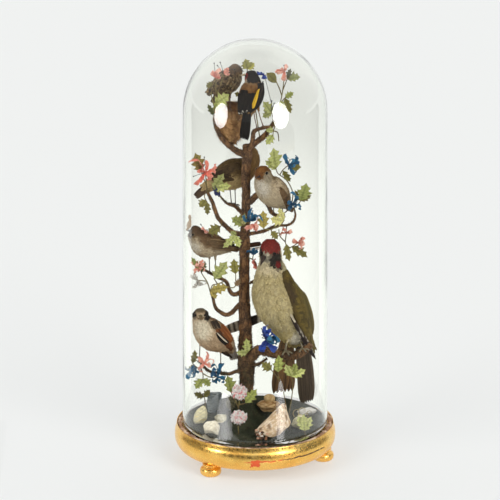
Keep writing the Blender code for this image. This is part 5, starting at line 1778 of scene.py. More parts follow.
def add_fan(form, rng, roots, tips, count, width, out, tones, bars=None):
    """Flight or tail feathers in a row: stiff blades with a shaft, an edge colour and optional bars."""
    roots, tips, out = (floats(v) for v in (roots, tips, out))
    out = unit(out)
    t = np.linspace(0, 1, 22 if bars else 13)
    s = np.linspace(-1, 1, 7 if bars else 5)
    profile = np.interp(t, QUILL_STEPS, QUILL_SPREAD)
    vane, rim = floats(tones)
    for k in range(count):
        share = k / max(count - 1, 1)
        start = roots[0] * (1 - share) + roots[1] * share
        end = tips[0] * (1 - share) + tips[1] * share + rng.normal(0, 0.3, 3)
        along = end - start
        length = np.linalg.norm(along)
        side = unit(np.cross(along, out))
        lift = QUILL_BOW * length * np.sin(t * math.pi) + QUILL_STACK * k
        path = start + along * t[:, None] + out * lift[:, None]
        half = width / 2 * profile * rng.uniform(0.94, 1.06)
        camber = -0.12 * width * s ** 2
        points = path[:, None] + side * (half[:, None] * s)[..., None] + out * camber[:, None]
        shade = np.broadcast_to(vane * rng.uniform(0.9, 1.1), points.shape).copy()
        shade = blend(shade, rim, np.broadcast_to(ramp_up(0.55, 0.95, np.abs(s)), points.shape[:2]) * 0.75)
        shade[:, len(s) // 2] *= 0.78
        if bars:
            bar, number, inner = bars
            teeth = np.abs((t * number) % 1 - 0.5) < 0.2
            mask = teeth[:, None] & (np.abs(s) >= inner) & (t > 0.12)[:, None]
            shade = blend(shade, bar, mask * 0.95)
        form.grid(points, np.clip(shade, 0, 255))


def add_eye(form, eyes, centre, radius, facing, ring):
    """A glass eye in a ring of short lid feathers."""
    centre, facing = floats(centre), unit(facing)
    b = np.linspace(0.001, math.pi - 0.001, 16)
    ball = lathe(np.column_stack([radius * np.sin(b), -radius * np.cos(b)]), 24)
    eyes.grid(ball + centre, PUPIL, closed=True)
    across = unit(np.cross(facing, (0, 0, 1.0)))
    up = np.cross(across, facing)
    a = circle(22)
    b = circle(6)
    out = across * np.cos(a)[:, None] + up * np.sin(a)[:, None]
    rows = (centre + facing * radius * 0.25 + out[:, None] * (radius * (1.06 + 0.15 * np.cos(b)))[:, None]
            + facing * (radius * 0.15 * np.sin(b))[:, None])
    form.grid(np.concatenate([rows, rows[:1]]), ring, closed=True)


def add_beak(form, root, tip, half_width, tone, gape=BEAK_GAPE):
    """Upper and lower mandible, pointed, with the line of the gape between them."""
    root, tip = floats(root), floats(tip)
    along = tip - root
    side = unit(np.cross(along, (0, 0, 1.0)))
    up = unit(np.cross(side, along))
    t = np.linspace(0, 1, 14)
    a = np.linspace(0, math.pi, 9)
    for sign, reach in ((1, 1.0), (-1, 0.9)):
        size = half_width * np.maximum(1 - t, 0.06) ** 0.8
        centre = root + along * (t * reach)[:, None] + up * (sign * gape * (1 - t) * 0.5)[:, None]
        rows = (centre[:, None] + side * (size[:, None] * np.cos(a))[..., None]
                + up * (sign * size[:, None] * 0.9 * np.sin(a))[..., None])
        under = centre[:, None] + side * (size[:, None] * np.cos(a[::-1]))[..., None]
        shade = blend(np.array(tone) * 0.8, tone, t)[:, None] * np.ones((1, 18, 1))
        rows = np.concatenate([rows, under], axis=1)
        form.grid(rows if sign > 0 else rows[:, ::-1], np.clip(shade, 0, 255), closed=True)


def add_leg(form, points, tone, toes, radius, claw):
    """A scaly shank and toes that curl over the perch; toes are directions from the ankle."""
    line = even(smooth(points, 20), 24)
    size = radius * np.interp(np.linspace(0, 1, 24), (0, 0.25, 0.8, 1), (2.2, 1.15, 1.0, 1.35))
    size = size * (1 + 0.05 * np.sin(np.arange(24) * 2.4))
    tube(form, np.column_stack([line, size]), 8, tone)
    ankle = line[-1]
    for toe in toes:
        toe = floats(toe) / np.linalg.norm(toe) * claw
        path = smooth([ankle, ankle + toe * 0.45 + (0, 0, 0.9), ankle + toe * 0.85 + (0, 0, -0.4),
                       ankle + toe * 1.02 + (0, 0, -2.4)], 14)
        size = radius * np.interp(np.linspace(0, 1, 14), (0, 0.7, 0.8, 1), (1.05, 0.85, 0.55, 0.15))
        dark = blend(tone, np.array(tone) * 0.35, ramp_up(0.7, 0.8, np.linspace(0, 1, 14)))
        tube(form, np.column_stack([path, size]), 6, np.repeat(dark[:, None], 6, axis=1))


# Each bird: body rows from tail to head, as middle, half height and half depth; paint, which is a colour
# and layers over it; the size, edge and shaft of its feathers; wings, as rows and paint; fans of stiff
# feathers, as roots, tips, count, width, facing, colours and sometimes bars; beak, eyes and legs.
# A layer is its kind, where, low, high, colour and strength. A beak is root, tip, half width, colour and
# sometimes gape, and an eye is centre, radius and facing.

BIRDS = {
    "bird_young": {
        "body": (
            (-76, 10, 632, 5, 3), (-68, 10, 640, 8.5, 6), (-58, 9, 645, 15, 12), (-48, 8, 650, 19, 16),
            (-39, 7, 658, 18, 15), (-33.5, 6, 667, 12.6, 12), (-33, 5, 675, 10.8, 11),
            (-33, 4, 681, 5.4, 6),
        ),
        "paint": (
            (154, 130, 92),
            ("grain", 0.13, 0.0, 0.14, (70, 52, 32), 0.9),
            ("grain", 0.17, 0.1, 0.26, (222, 196, 146), 0.9),
            ("facing", (0.7, 0, -0.7), 0.2, 0.8, (150, 128, 96), 0.6),
            ("beyond", (0, 0, 1), 666, 673, (108, 82, 52), 0.8),
            ("spot", (-35, -6, 677), 0.3, (5, 5, 2.2), (60, 46, 34), 0.7),
        ),
        "size": (4.2, 2.4),
        "edge": 0.6,
        "shaft": 0.5,
        "mottle": 0.42,
        "wings": (
            (
                ((-40, -4, 660, 9, 4), (-54, -5, 649, 10, 5), (-68, 1, 637, 4, 3)),
                (
                    (124, 102, 70),
                    ("grain", 0.13, -0.05, 0.12, (56, 42, 28), 0.9),
                    ("grain", 0.17, 0.1, 0.3, (188, 160, 114), 0.85),
                ),
            ),
        ),
        "fans": (
            (((-60, 9, 644), (-58, 8, 640)), ((-80, 11, 630), (-77, 11, 626)), 4, 3.4, (-0.4, -0.6, 0.7),
             ((92, 74, 54), (140, 118, 88))),
            (((-58, -6, 642), (-54, -6, 636)), ((-73, 0, 620), (-69, 0, 616)), 5, 3.6, (-0.5, -0.8, 0.3),
             ((84, 66, 46), (150, 126, 92))),
            (((-50, -8, 652), (-46, -9, 645)), ((-69, -3, 632), (-64, -4, 625)), 6, 4.0, (-0.4, -0.9, 0.2),
             ((86, 68, 46), (166, 140, 102))),
        ),
        "beak": ((-24, 2.4, 674), (-18.2, 0.2, 671.2), 2.2, (92, 72, 52)),
        "eyes": (((-33.6, -5.8, 676.6), 1.5, (0.1, -1, 0.2)), ((-28.6, 13, 676.6), 1.5, (0.3, 1, 0.2))),
        "lid": (146, 126, 96),
        "legs": (
            ((-41, 10, 640), (-43, 17, 626), (-42, 23.4, 613)),
            ((-50, 10, 640), (-52, 16, 626), (-51, 21.4, 613)),
            ((-42, -2, 640), (-41, -8, 626), (-41, -16, 612)),
        ),
        "horn": (120, 92, 68),
    },
    "bird_goldfinch": {
        "body": (
            (-15, -35, 607, 8, 6), (-13, -34, 615, 11, 8), (-10, -31, 627, 17, 13), (-7, -28, 640, 19, 16),
            (-4, -27, 653, 17.5, 15), (-4, -27, 663, 12.4, 12), (-6, -28, 672, 11, 11.4),
            (-7, -28, 680, 7, 7),
        ),
        "paint": (
            (142, 102, 56),
            ("grain", 0.16, -0.1, 0.9, (108, 74, 38), 0.6),
            ("facing", (0, -1, 0), 0.1, -0.5, (196, 176, 142), 0.9),
            ("facing", (1, 0.3, -0.2), 0.55, 0.9, (150, 112, 64), 0.7),
            ("beyond", (0, 0, 1), 662, 664.5, (170, 142, 104), 0.5),
            ("beyond", (0, 0, 1), 665, 667, (24, 18, 12), 0.97),
            ("spot", (-17, -34, 668), 0.25, (4.5, 7, 4.5), (196, 180, 152), 0.9),
            ("spot", (-17.5, -33, 675.5), 0.2, (6.0, 12, 5.2), (158, 34, 30), 0.98),
            ("beyond", (0, 0, -1), -624, -616, (158, 128, 84), 0.6),
        ),
        "size": (4.4, 3.0),
        "edge": 0.18,
        "shaft": 0.12,
        "wings": (
            (
                ((8, -31, 662, 6, 9), (8, -37, 645, 6.5, 8), (2, -42, 630, 6, 5), (-8, -45, 620, 4, 3)),
                ((25, 19, 12), ("grain", 0.15, 0.2, 0.6, (56, 43, 28), 0.5)),
            ),
            (
                ((-17, -37, 652, 6, 8), (-19, -41, 639, 8, 7), (-19, -43, 622, 6, 5)),
                ((26, 20, 13), ("grain", 0.15, 0.2, 0.6, (60, 46, 30), 0.5)),
            ),
        ),
        "fans": (
            (((-8, -38, 628), (-15, -38, 628)), ((-12.5, -42, 568), (-24, -42, 572)), 7, 6.2, (0, -1, 0),
             ((17, 12, 7), (40, 31, 21))),
            (((-26, -43, 648), (0, -45, 650)), ((-26, -48, 612), (-10, -49, 618)), 10, 6.0, (0, -1, 0.1),
             ((20, 15, 9), (46, 35, 23))),
            (((13, -40, 668), (10, -44, 662)), ((3, -46, 627), (-2, -48, 621)), 6, 4.4, (0.3, -1, 0),
             ((24, 18, 11), (58, 44, 28))),
            (((7.6, -46.5, 657), (4.6, -48, 656)), ((-1.5, -49.5, 625), (-6.5, -50, 623)), 5, 3.4,
             (0.1, -1, 0), ((246, 194, 40), (252, 214, 84))),
        ),
        "flecks": ((-27, -51, 618), (-9, -51.5, 624), 13, (226, 220, 206)),
        "beak": ((-16.5, -30.4, 675.6), (-24.8, -32.8, 675.2), 2.6, (206, 184, 150)),
        "eyes": (((-15.4, -35.6, 675.4), 1.4, (-0.5, -1, 0.1)), ((-12, -19, 675.4), 1.4, (-0.5, 1, 0.1))),
        "lid": (60, 30, 24),
        "legs": (
            ((3, -29, 628), (7, -25.4, 606), (13, -24, 586)),
            ((-4, -29, 626), (-1, -24.4, 602), (3, -22.6, 582)),
        ),
        "horn": (112, 76, 48),
    },
    "bird_olive": {
        "body": (
            (-84, 31, 460, 8, 4), (-69, 30, 469, 12, 9), (-53, 30, 478, 21.5, 15), (-36, 29, 486, 25, 19),
            (-20, 28, 493.5, 21.5, 17.5), (-8, 27, 504, 15, 14), (-5, 26, 517, 11.5, 12),
            (-7, 25, 528, 9.5, 10.4),
            (-7, 25, 536, 5, 6),
        ),
        "paint": (
            (108, 88, 54),
            ("grain", 0.12, -0.3, 0.8, (80, 62, 38), 0.7),
            ("grain", 0.15, 0.2, 0.6, (138, 116, 74), 0.5),
            ("facing", (0.2, -0.2, -1), 0.2, 0.7, (200, 174, 124), 0.95),
            ("beyond", (0.1, -0.2, -1), -502, -488, (214, 188, 134), 0.9),
            ("beyond", (1, 0, 0), -12, -6, (146, 112, 66), 0.75),
        ),
        "size": (5.0, 3.2),
        "edge": 0.16,
        "shaft": 0.12,
        "wings": (
            (
                ((-24, 15, 500, 11, 4), (-46, 16, 494, 11, 5), (-68, 20, 486, 5, 3)),
                ((92, 74, 48), ("grain", 0.13, 0.0, 0.6, (62, 47, 30), 0.7)),
            ),
        ),
        "fans": (
            (((-66, 28, 478), (-62, 27, 468)), ((-102, 32, 449), (-96, 31, 441)), 8, 5.4, (-0.3, -0.7, 0.6),
             ((72, 52, 34), (112, 86, 58))),
            (((-42, 12, 504), (-34, 11, 482)), ((-78, 18, 486), (-70, 18, 478)), 9, 5.4, (0, -1, 0.3),
             ((70, 54, 34), (132, 108, 70))),
            (((-34, 11, 500), (-33, 11, 490)), ((-60, 14, 481), (-56, 14, 475)), 5, 5.0, (0, -1, 0.2),
             ((78, 60, 38), (150, 124, 82))),
        ),
        "beak": ((-3, 24.6, 537), (3, 24.2, 543), 1.8, (70, 56, 42)),
        "eyes": (((-8, 14.4, 531), 1.5, (0, -1, 0.2)), ((-8, 35.4, 531), 1.5, (0, 1, 0.2))),
        "lid": (120, 100, 64),
        "legs": (
            ((-42, 28, 478), (-41, 27, 456), (-39, 22.6, 436.4)),
            ((-34, 26, 474), (-33, 22, 455), (-32.4, 13.6, 437.4)),
        ),
        "horn": (66, 50, 38),
        "toes": ((0.9, -0.7, 0), (0.3, -1, 0), (1, -0.2, 0.1), (-0.8, 0.7, 0)),
    },
    "bird_blackcap": {
        "body": (
            (52, 4, 441, 7, 5), (46, -2, 449, 14, 12), (36, -9, 461, 22, 18), (25, -15, 474, 23.6, 21),
            (17, -18, 485, 19, 18), (14, -20, 496, 14.4, 14.5), (13, -19, 507, 12.6, 13.4),
            (13, -17.5, 515, 6, 7),
        ),
        "paint": (
            (206, 190, 160),
            ("grain", 0.09, -0.2, 0.9, (180, 162, 130), 0.6),
            # The pale spot on the throat is a painted highlight on the pale throat.
            ("spot", (10, -36, 486), 0.6, (12, 15, 17), (222, 216, 202), 0.9),
            ("facing", (1, 0.2, 0.1), 0.5, 0.9, (140, 118, 86), 0.85),
            ("facing", (0.5, 1, 0.4), 0.1, 0.6, (118, 94, 64), 0.9),
            ("beyond", (0, 0, -1), -452, -440, (180, 168, 144), 0.5),
            ("spot", (8, -24, 511), 0.10, (15, 16, 13), (122, 78, 36), 0.97),
            ("spot", (6, -31, 515), 0.5, (8, 8, 6), (158, 108, 56), 0.7),
            ("spot", (20.5, -31, 502), 0.25, (8, 9, 9), (168, 156, 132), 0.95),
            ("grain", 0.4, 0.3, 0.6, (110, 90, 60), 0.2),
        ),
        "size": (4.8, 3.4),
        "edge": 0.12,
        "shaft": 0.08,
        "wings": (
            (
                ((32, -22, 489, 5, 7), (42, -23, 474, 6, 8), (50, -16, 458, 6, 8), (54, -2, 440, 4, 5)),
                ((124, 98, 68), ("grain", 0.13, 0.0, 0.6, (84, 64, 44), 0.8)),
            ),
        ),
        "fans": (
            (((44, -28, 478), (48, -24, 472)), ((54, -8, 440), (57, 0, 434)), 6, 5.0, (0.7, -0.8, 0.1),
             ((92, 70, 46), (158, 132, 98))),
            (((48, 4, 452), (53, 6, 452)), ((54, 16, 426), (62, 15, 424)), 6, 5.0, (0.5, -0.8, 0.1),
             ((104, 82, 60), (150, 128, 98))),
        ),
        "beak": ((8.6, -31.2, 503.4), (1.4, -39.6, 500.8), 1.7, (54, 44, 36)),
        "gape": ((2.6, -31.6, 501.8), (8, -34, 500.2), (14.4, -33.4, 502.6)),
        "eyes": (((18.6, -31.6, 507.6), 2.7, (0.5, -1, 0.15)), ((2.0, -13, 508.4), 2.2, (-1, 0.5, 0.15))),
        "lid": (158, 142, 116),
        "legs": (
            ((31, -11, 455), (30.5, -10.5, 442), (30.5, -10.3, 432)),
            ((44, -8, 450), (45, -12, 441), (45.5, -13.6, 432)),
        ),
        "horn": (88, 68, 50),
    },
    "bird_brown": {
        "body": (
            (-42, 17, 360, 6, 4.4), (-55, 10, 365, 12.4, 10), (-71, 3, 371, 19.4, 17),
            (-84, -3, 375, 21, 19),
            (-92, -8, 385, 16.6, 15.4), (-97, -11, 394, 13.6, 13.2), (-100, -13, 400, 11, 11),
            (-104.6, -15, 402, 6, 6),
        ),
        "paint": (
            (132, 104, 72),
            ("grain", 0.1, -0.3, 0.8, (108, 82, 54), 0.6),
            ("facing", (-0.3, -0.3, -1), 0.0, 0.45, (226, 210, 178), 0.97),
            ("facing", (-1, -0.6, -0.5), 0.45, 0.9, (176, 156, 124), 0.75),
            ("beyond", (0, 0, 1), 392, 402, (98, 72, 48), 0.7),
            ("grain", 0.15, 0.15, 0.6, (80, 58, 38), 0.35),
            ("spot", (-103, -22, 396.6), 0.5, (5, 6, 2.4), (148, 122, 92), 0.6),
            ("spot", (-101, -22, 377), 0.5, (10, 12, 10), (236, 228, 210), 0.9),
        ),
        "size": (4.8, 3.2),
        "edge": 0.16,
        "shaft": 0.14,
        "wings": (
            (
                ((-82, -17, 384, 8, 6), (-65, -11, 378, 9, 6), (-45, -1, 369, 6, 5), (-32, 8, 361, 3, 2)),
                ((132, 106, 74), ("grain", 0.12, 0.0, 0.6, (96, 74, 50), 0.6)),
            ),
        ),
        "fans": (
            (((-54, 14, 368), (-52, 14, 362)), ((-24, 18, 361), (-25, 18, 356)), 5, 4.6, (0, -0.8, 0.5),
             ((86, 62, 42), (132, 104, 74))),
            (((-30, 19, 360), (-30, 20, 357)), ((9, 21, 370), (11, 21, 364)), 5, 4.6, (0, -0.6, 0.8),
             ((72, 50, 36), (112, 82, 58))),
            (((-12, 20, 359), (-12, 20, 356)), ((9, 20.5, 362), (10, 20.5, 358.6)), 3, 4.2, (0, -0.6, -0.8),
             ((206, 170, 138), (222, 190, 160))),
            (((-74, -20, 388), (-70, -18, 374)), ((-43, -6, 378), (-34, 2, 364)), 10, 5.2, (0.1, -1, 0.25),
             ((124, 100, 70), (196, 168, 126))),
            (((-58, -10, 384), (-52, -9, 378)), ((-36, 0, 380), (-33, 0, 370)), 5, 5.0, (0, -1, 0.4),
             ((44, 34, 28), (84, 64, 46))),
        ),
        "beak": ((-107.4, -15.6, 402.4), (-113.8, -17.8, 404.2), 2.2, (96, 86, 76)),
        "eyes": (
            ((-101.6, -22.8, 398.2), 2.0, (-0.35, -1, 0.15)),
            ((-106, -7, 399.6), 1.9, (-0.8, 0.6, 0.2)),
        ),
        "lid": (140, 118, 90),
        "legs": (
            ((-75, 0, 360), (-75.5, -1, 344), (-75, -1.8, 326)),
            ((-66, 0, 360), (-65.5, -2, 344), (-64.5, -4, 321)),
        ),
        "horn": (66, 52, 42),
    },
    "bird_sparrow": {
        "body": (
            (-40, 6, 187, 7, 6), (-48, 1, 198, 15, 13), (-59, -6, 208, 22, 19), (-71, -14, 219, 25, 22),
            (-81, -20, 233, 22, 21), (-87, -23, 245, 15.5, 17), (-89.5, -25, 254, 12.6, 14),
            (-90, -26.5, 262, 12.4, 13.4), (-90.5, -26, 269, 6.6, 7.4),
        ),
        "paint": (
            (204, 178, 144),
            ("grain", 0.09, -0.3, 0.9, (184, 154, 118), 0.6),
            ("spot", (-88, -42, 241), 0.6, (16, 22, 19), (250, 238, 212), 0.97),
            ("facing", (0.2, 0.1, -1), 0.4, 0.9, (168, 138, 102), 0.8),
            ("facing", (1, 0.6, 0.3), 0.5, 0.85, (128, 92, 60), 0.95),
            ("facing", (0.6, 1, 0.5), 0.2, 0.7, (126, 92, 58), 0.95),
            ("spot", (-106, -20, 226), 0.4, (4.5, 12, 9), (110, 74, 46), 0.8),
            ("spot", (-90, -20, 273), 0.2, (18, 24, 8.0), (112, 98, 74), 0.97),
            ("spot", (-102, -28, 262), 0.2, (7.6, 14, 5.4), (30, 24, 18), 0.98),
            ("spot", (-78.6, -30, 260), 0.2, (5.6, 14, 8.0), (30, 24, 18), 0.98),
            ("spot", (-86, -42, 263.6), 0.25, (9, 7, 2.0), (216, 202, 166), 0.9),
            ("spot", (-90, -42, 259.4), 0.35, (8, 6, 2.8), (134, 102, 66), 0.8),
        ),
        "size": (5.0, 3.6),
        "edge": 0.12,
        "shaft": 0.08,
        "wings": (
            (
                ((-70, -24, 243, 6, 10), (-60, -23, 227, 7, 12), (-50, -14, 210, 7, 11),
                 (-42, -2, 194, 5, 6)),
                (
                    (146, 92, 54),
                    ("grain", 0.12, 0.05, 0.4, (88, 54, 32), 0.8),
                    ("spot", (-68, -26, 246), 0.4, (10, 12, 8), (206, 186, 150), 0.6),
                    ("spot", (-64, -26, 240), 0.5, (6, 6, 5), (52, 40, 30), 0.85),
                ),
            ),
        ),
        "fans": (
            (((-44, 0, 200), (-38, 2, 200)), ((-40, 8, 166), (-30, 9, 168)), 6, 5.2, (0.2, -1, 0),
             ((196, 186, 178), (232, 224, 214))),
            (((-62, -14, 196), (-52, -8, 194)), ((-42, 4, 174), (-38, 6, 172)), 6, 6.0, (-0.3, -1, -0.4),
             ((66, 50, 38), (110, 86, 62))),
            (((-62, -34, 243), (-54, -28, 243)), ((-43, -17, 203), (-37, -8, 207)), 8, 6.2, (0.4, -1, 0.15),
             ((158, 94, 50), (196, 134, 84))),
            (((-66, -37, 229), (-62, -37, 233)), ((-47, -28, 206), (-43, -26, 210)), 5, 4.6, (0, -1, 0),
             ((34, 27, 22), (64, 50, 38))),
            (((-62.6, -39.6, 232), (-62.2, -39.6, 232.4)), ((-46, -32, 212), (-45.4, -32, 212.6)), 2, 2.0,
             (0, -1, 0), ((232, 220, 196), (240, 232, 212))),
            (((-73, -36, 252), (-65, -32, 253)), ((-66, -38, 238), (-57, -34, 238)), 5, 5.4, (0.4, -1, 0.2),
             ((58, 44, 32), (216, 192, 152))),
        ),
        "beak": ((-89.6, -38.4, 261.4), (-88.8, -49.4, 257.4), 3.2, (126, 106, 70), 0.4),
        "eyes": (
            ((-97.6, -36.8, 262.4), 1.8, (-0.5, -1, 0.1)),
            ((-82.4, -37.0, 262.4), 1.8, (0.4, -1, 0.1)),
        ),
        "lid": (84, 64, 46),
        "legs": (
            ((-89, -18, 212), (-91, -20, 200), (-92, -23.4, 178.4)),
            ((-58, -12, 200), (-57, -15, 184), (-57, -20.6, 158)),
        ),
        "horn": (78, 62, 50),
    },
    "bird_woodpecker": {
        "body": (
            (66, 4, 203, 14, 10), (61, -8, 224, 24, 21), (52, -16, 249, 34, 29), (41, -22, 276, 39.6, 34),
            (32, -24, 298, 38, 35), (28, -24, 317, 30.6, 30), (27, -24, 336, 24, 24.6),
            (26, -26, 354, 17.4, 19), (25, -28, 369, 17.6, 20), (25, -27.4, 383, 14.6, 16.4),
            (25, -25.4, 391, 7.6, 8.6),
        ),
        "paint": (
            (204, 190, 144),
            ("grain", 0.045, -0.6, 0.9, (180, 164, 108), 0.5),
            ("grain", 0.16, 0.2, 0.8, (206, 196, 158), 0.5),
            ("beyond", (-0.25, 0, -1), -262, -222, (196, 176, 104), 0.6),
            ("facing", (1, 0.35, 0.1), 0.6, 0.95, (112, 98, 56), 0.9),
            ("facing", (0.5, 1, 0.2), 0.2, 0.7, (104, 96, 52), 0.95),
            ("spot", (69, -30, 219), 0.35, (15, 22, 20), (244, 238, 220), 0.95),
            ("spot", (19, -54, 328), 0.5, (2.4, 5, 1.6), (92, 82, 56), 0.8),
            ("spot", (27, -58, 322.6), 0.5, (1.8, 5, 1.4), (92, 82, 56), 0.7),
            ("spot", (56, -46, 321), 0.4, (4, 8, 4), (66, 58, 42), 0.85),
            ("beyond", (0, 0, 1), 330, 348, (226, 214, 182), 0.7),
            ("spot", (17, -44, 369), 0.3, (11, 9, 8.6), (186, 180, 160), 0.9),
            ("spot", (33, -42, 367), 0.22, (11.4, 15, 9.6), (44, 38, 32), 0.97),
            ("spot", (39, -40, 355), 0.25, (7.4, 14, 9.4), (42, 36, 30), 0.96),
            ("spot", (31, -44, 357), 0.25, (7.6, 9, 5.6), (44, 38, 32), 0.95),
            ("spot", (36.4, -42, 355), 0.3, (3.8, 13, 6.6), (136, 40, 36), 0.95),
            ("spot", (47, -24, 352), 0.35, (7, 17, 26), (196, 188, 150), 0.92),
            ("beyond", (0.1, -0.16, 1), 384.5, 388, (134, 42, 36), 0.97),
            ("spot", (10.6, -34, 374), 0.3, (3.4, 14, 7.4), (40, 32, 28), 0.9),
        ),
        "size": (7.4, 5.0),
        "edge": 0.05,
        "shaft": 0.03,
        "wings": (
            (
                (
                    (47, -32, 338, 7, 10), (57, -39, 312, 11, 15), (67, -37, 283, 13.4, 17),
                    (76, -29, 249, 13.4, 17), (85, -12, 217, 9, 12), (95, 2, 190, 5, 5),
                ),
                (
                    (122, 104, 46),
                    ("grain", 0.07, -0.1, 0.5, (88, 76, 36), 0.8),
                    # The dark spot on the wing's top and the darker side that faces the body are painted
                    # shadow.
                    ("spot", (54, -52, 302), 0.5, (10, 14, 26), (66, 52, 34), 0.9),
                    ("facing", (-1, -0.3, 0), 0.1, 0.7, (92, 76, 44), 0.7),
                    ("beyond", (1, 0, -1), -160, -120, (132, 116, 56), 0.7),
                ),
            ),
        ),
        "fans": (
            (((60, 8, 207), (48, 8, 210)), ((62, 24, 106), (31, 28, 100)), 6, 13.0, (-0.2, -1, 0.15),
             ((112, 88, 62), (168, 124, 78)), ((146, 106, 66), 9.0, 0.55)),
            (((84, 6, 210), (70, 8, 208)), ((97, 38, 84), (79, 36, 78)), 6, 13.0, (0.2, -1, 0.15),
             ((84, 71, 56), (132, 116, 96)), ((108, 94, 76), 9.0, 0.6)),
            (((60, -48, 300), (70, -50, 292)), ((86, -26, 214), (94, -14, 200)), 7, 12.0, (0.5, -1, 0.1),
             ((112, 98, 50), (140, 124, 68))),
            (((58, -54, 268), (62, -55, 260)), ((95, -18, 192), (101, -2, 172)), 4, 7.4, (-0.1, -1, 0.1),
             ((56, 44, 40), (88, 70, 62)), ((226, 220, 200), 12.0, 0.66)),
            (((57.4, -56.6, 271), (58, -56.6, 271.6)), ((66, -56.6, 256), (66.6, -56.6, 256.6)), 2, 2.6,
             (0, -1, 0), ((222, 212, 186), (238, 230, 210))),
            (((64, -49, 322), (78, -40, 304)), ((82, -34, 240), (94, -18, 222)), 8, 13.0, (0.8, -1, 0.1),
             ((122, 108, 56), (150, 134, 78))),
            (((36, 0, 258), (34, 2, 250)), ((-52, 19, 220), (-50, 20, 210)), 5, 7.4, (0, -1, 0.3),
             ((52, 42, 34), (82, 66, 50)), ((214, 206, 184), 11.0, 0.0)),
        ),
        "beak": ((13.6, -46.6, 366.6), (8.6, -76, 362.6), 4.6, (70, 60, 54), 0.6),
        "eyes": (((31.6, -47.6, 372.6), 3.0, (0.5, -1, 0.1)), ((11, -41.8, 373), 2.8, (-1, -0.7, 0.1))),
        "lid": (64, 54, 48),
        "legs": (
            ((57, -18, 224), (52, -30, 210), (50, -29, 196)),
            ((66, -14, 218), (75, -26, 211), (78, -28, 201)),
        ),
        "horn": (142, 132, 104),
        "toes": ((0.5, -1, -0.1), (-0.4, -1, -0.1), (0.9, -0.6, 0), (0.1, 1, 0)),
    },
}


def plumage_material():
    shade = Shade("plumage", Roughness=0.72, Specular_IOR_Level=0.2)
    barbs = shade.noise(1.1, detail=5, roughness=0.7)
    dark = shade.ramp(barbs, (0.36, (255, 255, 255)), (0.66, (196, 186, 172)))
    shade.put("Base Color", shade.mix(1.0, shade.painted(), dark, "MULTIPLY"))
    shade.put("Normal", shade.bump(barbs, 0.25, 0.6))
    return shade.material


def horn_material():
    shade = Shade("beak and legs", Roughness=0.45)
    stain = shade.fit(shade.noise(1.6, detail=4), 0.4, 0.7, 0.0, 0.35)
    shade.put("Base Color", shade.mix(stain, shade.painted(), (40, 30, 24)))
    shade.put("Normal", shade.bump(shade.cells(0.9), 0.12, 0.6))
    return shade.material


def eye_material():
    shade = Shade("glass eyes", Roughness=0.06, IOR=1.5)
    shade.put("Base Color", shade.mix(shade.noise(1.0), (10, 8, 8), (30, 18, 12)))
    return shade.material


def dress(form, bird, rng):
    """Wings with feathers, then the stiff feathers of wings and tail."""
    length, width = bird["size"]
    for rows, layers in bird["wings"]:
        wing = Hide(rows[::-1], rings=30, segments=24)
        add_hide(form, wing, layers)
        add_plumage(form, wing, layers, rng, (length * 1.1, width * 1.15), 0.14 * length,
                    bird["edge"] + 0.08, bird["shaft"] + 0.05, mottle=bird.get("mottle", MOTTLE))
    for fan in bird["fans"]:
        add_fan(form, rng, *fan)
    if "flecks" in bird:
        low, high, count, tone = bird["flecks"]
        spots = np.linspace(low, high, count) + rng.normal(0, 1, (count, 3)) * (0.4, 0.2, 1.2)
        ways = np.tile((0.5, -0.1, -0.8), (count, 1)) + rng.normal(0, 0.2, (count, 3))
        tones = np.tile(tone, (count, 1))
        slivers(form, spots, ways, rng.uniform(2, 4, count), rng.uniform(1.0, 1.8, count), tones, rng)


def make_bird(name, bird, seed):
    """One bird as three pieces: feathers, beak with legs, and eyes."""
    rng = np.random.default_rng(seed)
    big = name == "bird_woodpecker"
    form, horn, eyes = Form(), Form(), Form()
    body = Hide(bird["body"], lump=0.9 if big else 0.5, seed=seed)
    length, width = bird["size"]
    paints = (form, body, bird["paint"], rng)
    looks = {"edge": bird["edge"], "shaft": bird["shaft"], "mottle": bird.get("mottle", MOTTLE)}
    add_hide(form, body, bird["paint"])
    add_plumage(*paints, bird["size"], 0.16 * length, **looks)
    add_plumage(*paints, (length * 0.55, width * 0.5), 0.3 * length, cover=0.5, span=(0.0, 0.8), **looks)
    dress(form, bird, rng)
    add_beak(horn, *bird["beak"])
    if "gape" in bird:
        tube(horn, np.column_stack([smooth(bird["gape"], 14), np.full(14, 0.45)]), 6, (40, 32, 26))
    for eye in bird["eyes"]:
        add_eye(form, eyes, *eye, bird["lid"])
    radius, claw = (1.5, 15) if big else (0.8, 7.5)
    for points in bird["legs"]:
        add_leg(horn, points, bird["horn"], bird.get("toes", TOES), radius, claw)
        add_thigh(form, points, bird, rng, *((0.62, 2.0) if big else (0.45, 1.0)))
    slot = name.replace("bird_", "plumage_")
    form.make(name + "_feathers", PLUMAGE, slot, [name])
    horn.make(name + "_beak_legs", HORN, slot)
    eyes.make(name + "_eyes", EYES, slot)


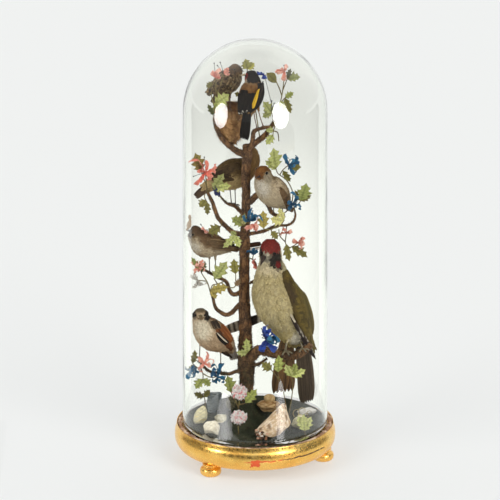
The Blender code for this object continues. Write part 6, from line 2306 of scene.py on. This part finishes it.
def add_thigh(form, points, bird, rng, reach, girth):
    """A tuft of feathers round the top of a leg, down to a share of the way to its knee."""
    top, knee = floats(points[0]), floats(points[1])
    rows = [(*(top + (knee - top) * t), r * girth, r * girth)
            for t, r in ((reach + 0.12, 1.2), (reach * 0.8, 2.6), (reach * 0.4, 4.0), (0, 5.0))]
    hide = Hide(rows, rings=14, segments=14)
    add_hide(form, hide, bird["paint"])
    add_plumage(form, hide, bird["paint"], rng, (4.6, 2.2), 0.8, bird["edge"], bird["shaft"])


MOTH_BODY = (
    (-111.6, -19, 405.2, 1.2, 1.2), (-108.6, -19, 410, 2.2, 2.2), (-107, -18.6, 416, 2.3, 2.2),
    (-106.6, -18.2, 423, 1.9, 1.8), (-107, -18, 427, 2.6, 2.4), (-107.2, -18, 430.6, 1.4, 1.4),
)
MOTH_PAINT = ((190, 146, 74), ("grain", 0.5, 0, 0.6, (148, 104, 48), 0.7))
MOTH_WING = ((196, 154, 84), (164, 118, 58))


def make_moth():
    """A small ochre moth held upright in the beak: a furry body with folded wings and a round head."""
    rng = np.random.default_rng(77)
    shade = Shade("moth", Roughness=0.85)
    shade.put("Base Color", shade.mix(shade.noise(1.2, detail=5), shade.painted(), (120, 84, 36)))
    shade.put("Normal", shade.bump(shade.noise(0.8), 0.3, 0.8))
    body = Hide(MOTH_BODY, rings=36, segments=16)
    form = Form()
    add_hide(form, body, MOTH_PAINT, 1.0)
    add_plumage(form, body, MOTH_PAINT, rng, (1.8, 1.0), 0.3, 0.2, 0.1)
    for side in (-1, 1):
        roots = ((-107.2 + side, -19.6, 421), (-107.2 + 1.6 * side, -19, 420))
        tips = ((-109.4 + side, -20.4, 407.4), (-108.4 + 2.2 * side, -20, 409))
        add_fan(form, rng, roots, tips, 2, 3.4, (side * 0.6, -1, 0), MOTH_WING)
    form.make("moth_scales", shade.material, "moth_wing", ["moth"])


PLUMAGE = plumage_material()
HORN = horn_material()
EYES = eye_material()
for k, (label, parts) in enumerate(BIRDS.items()):
    make_bird(label, parts, 300 + 11 * k)
make_moth()
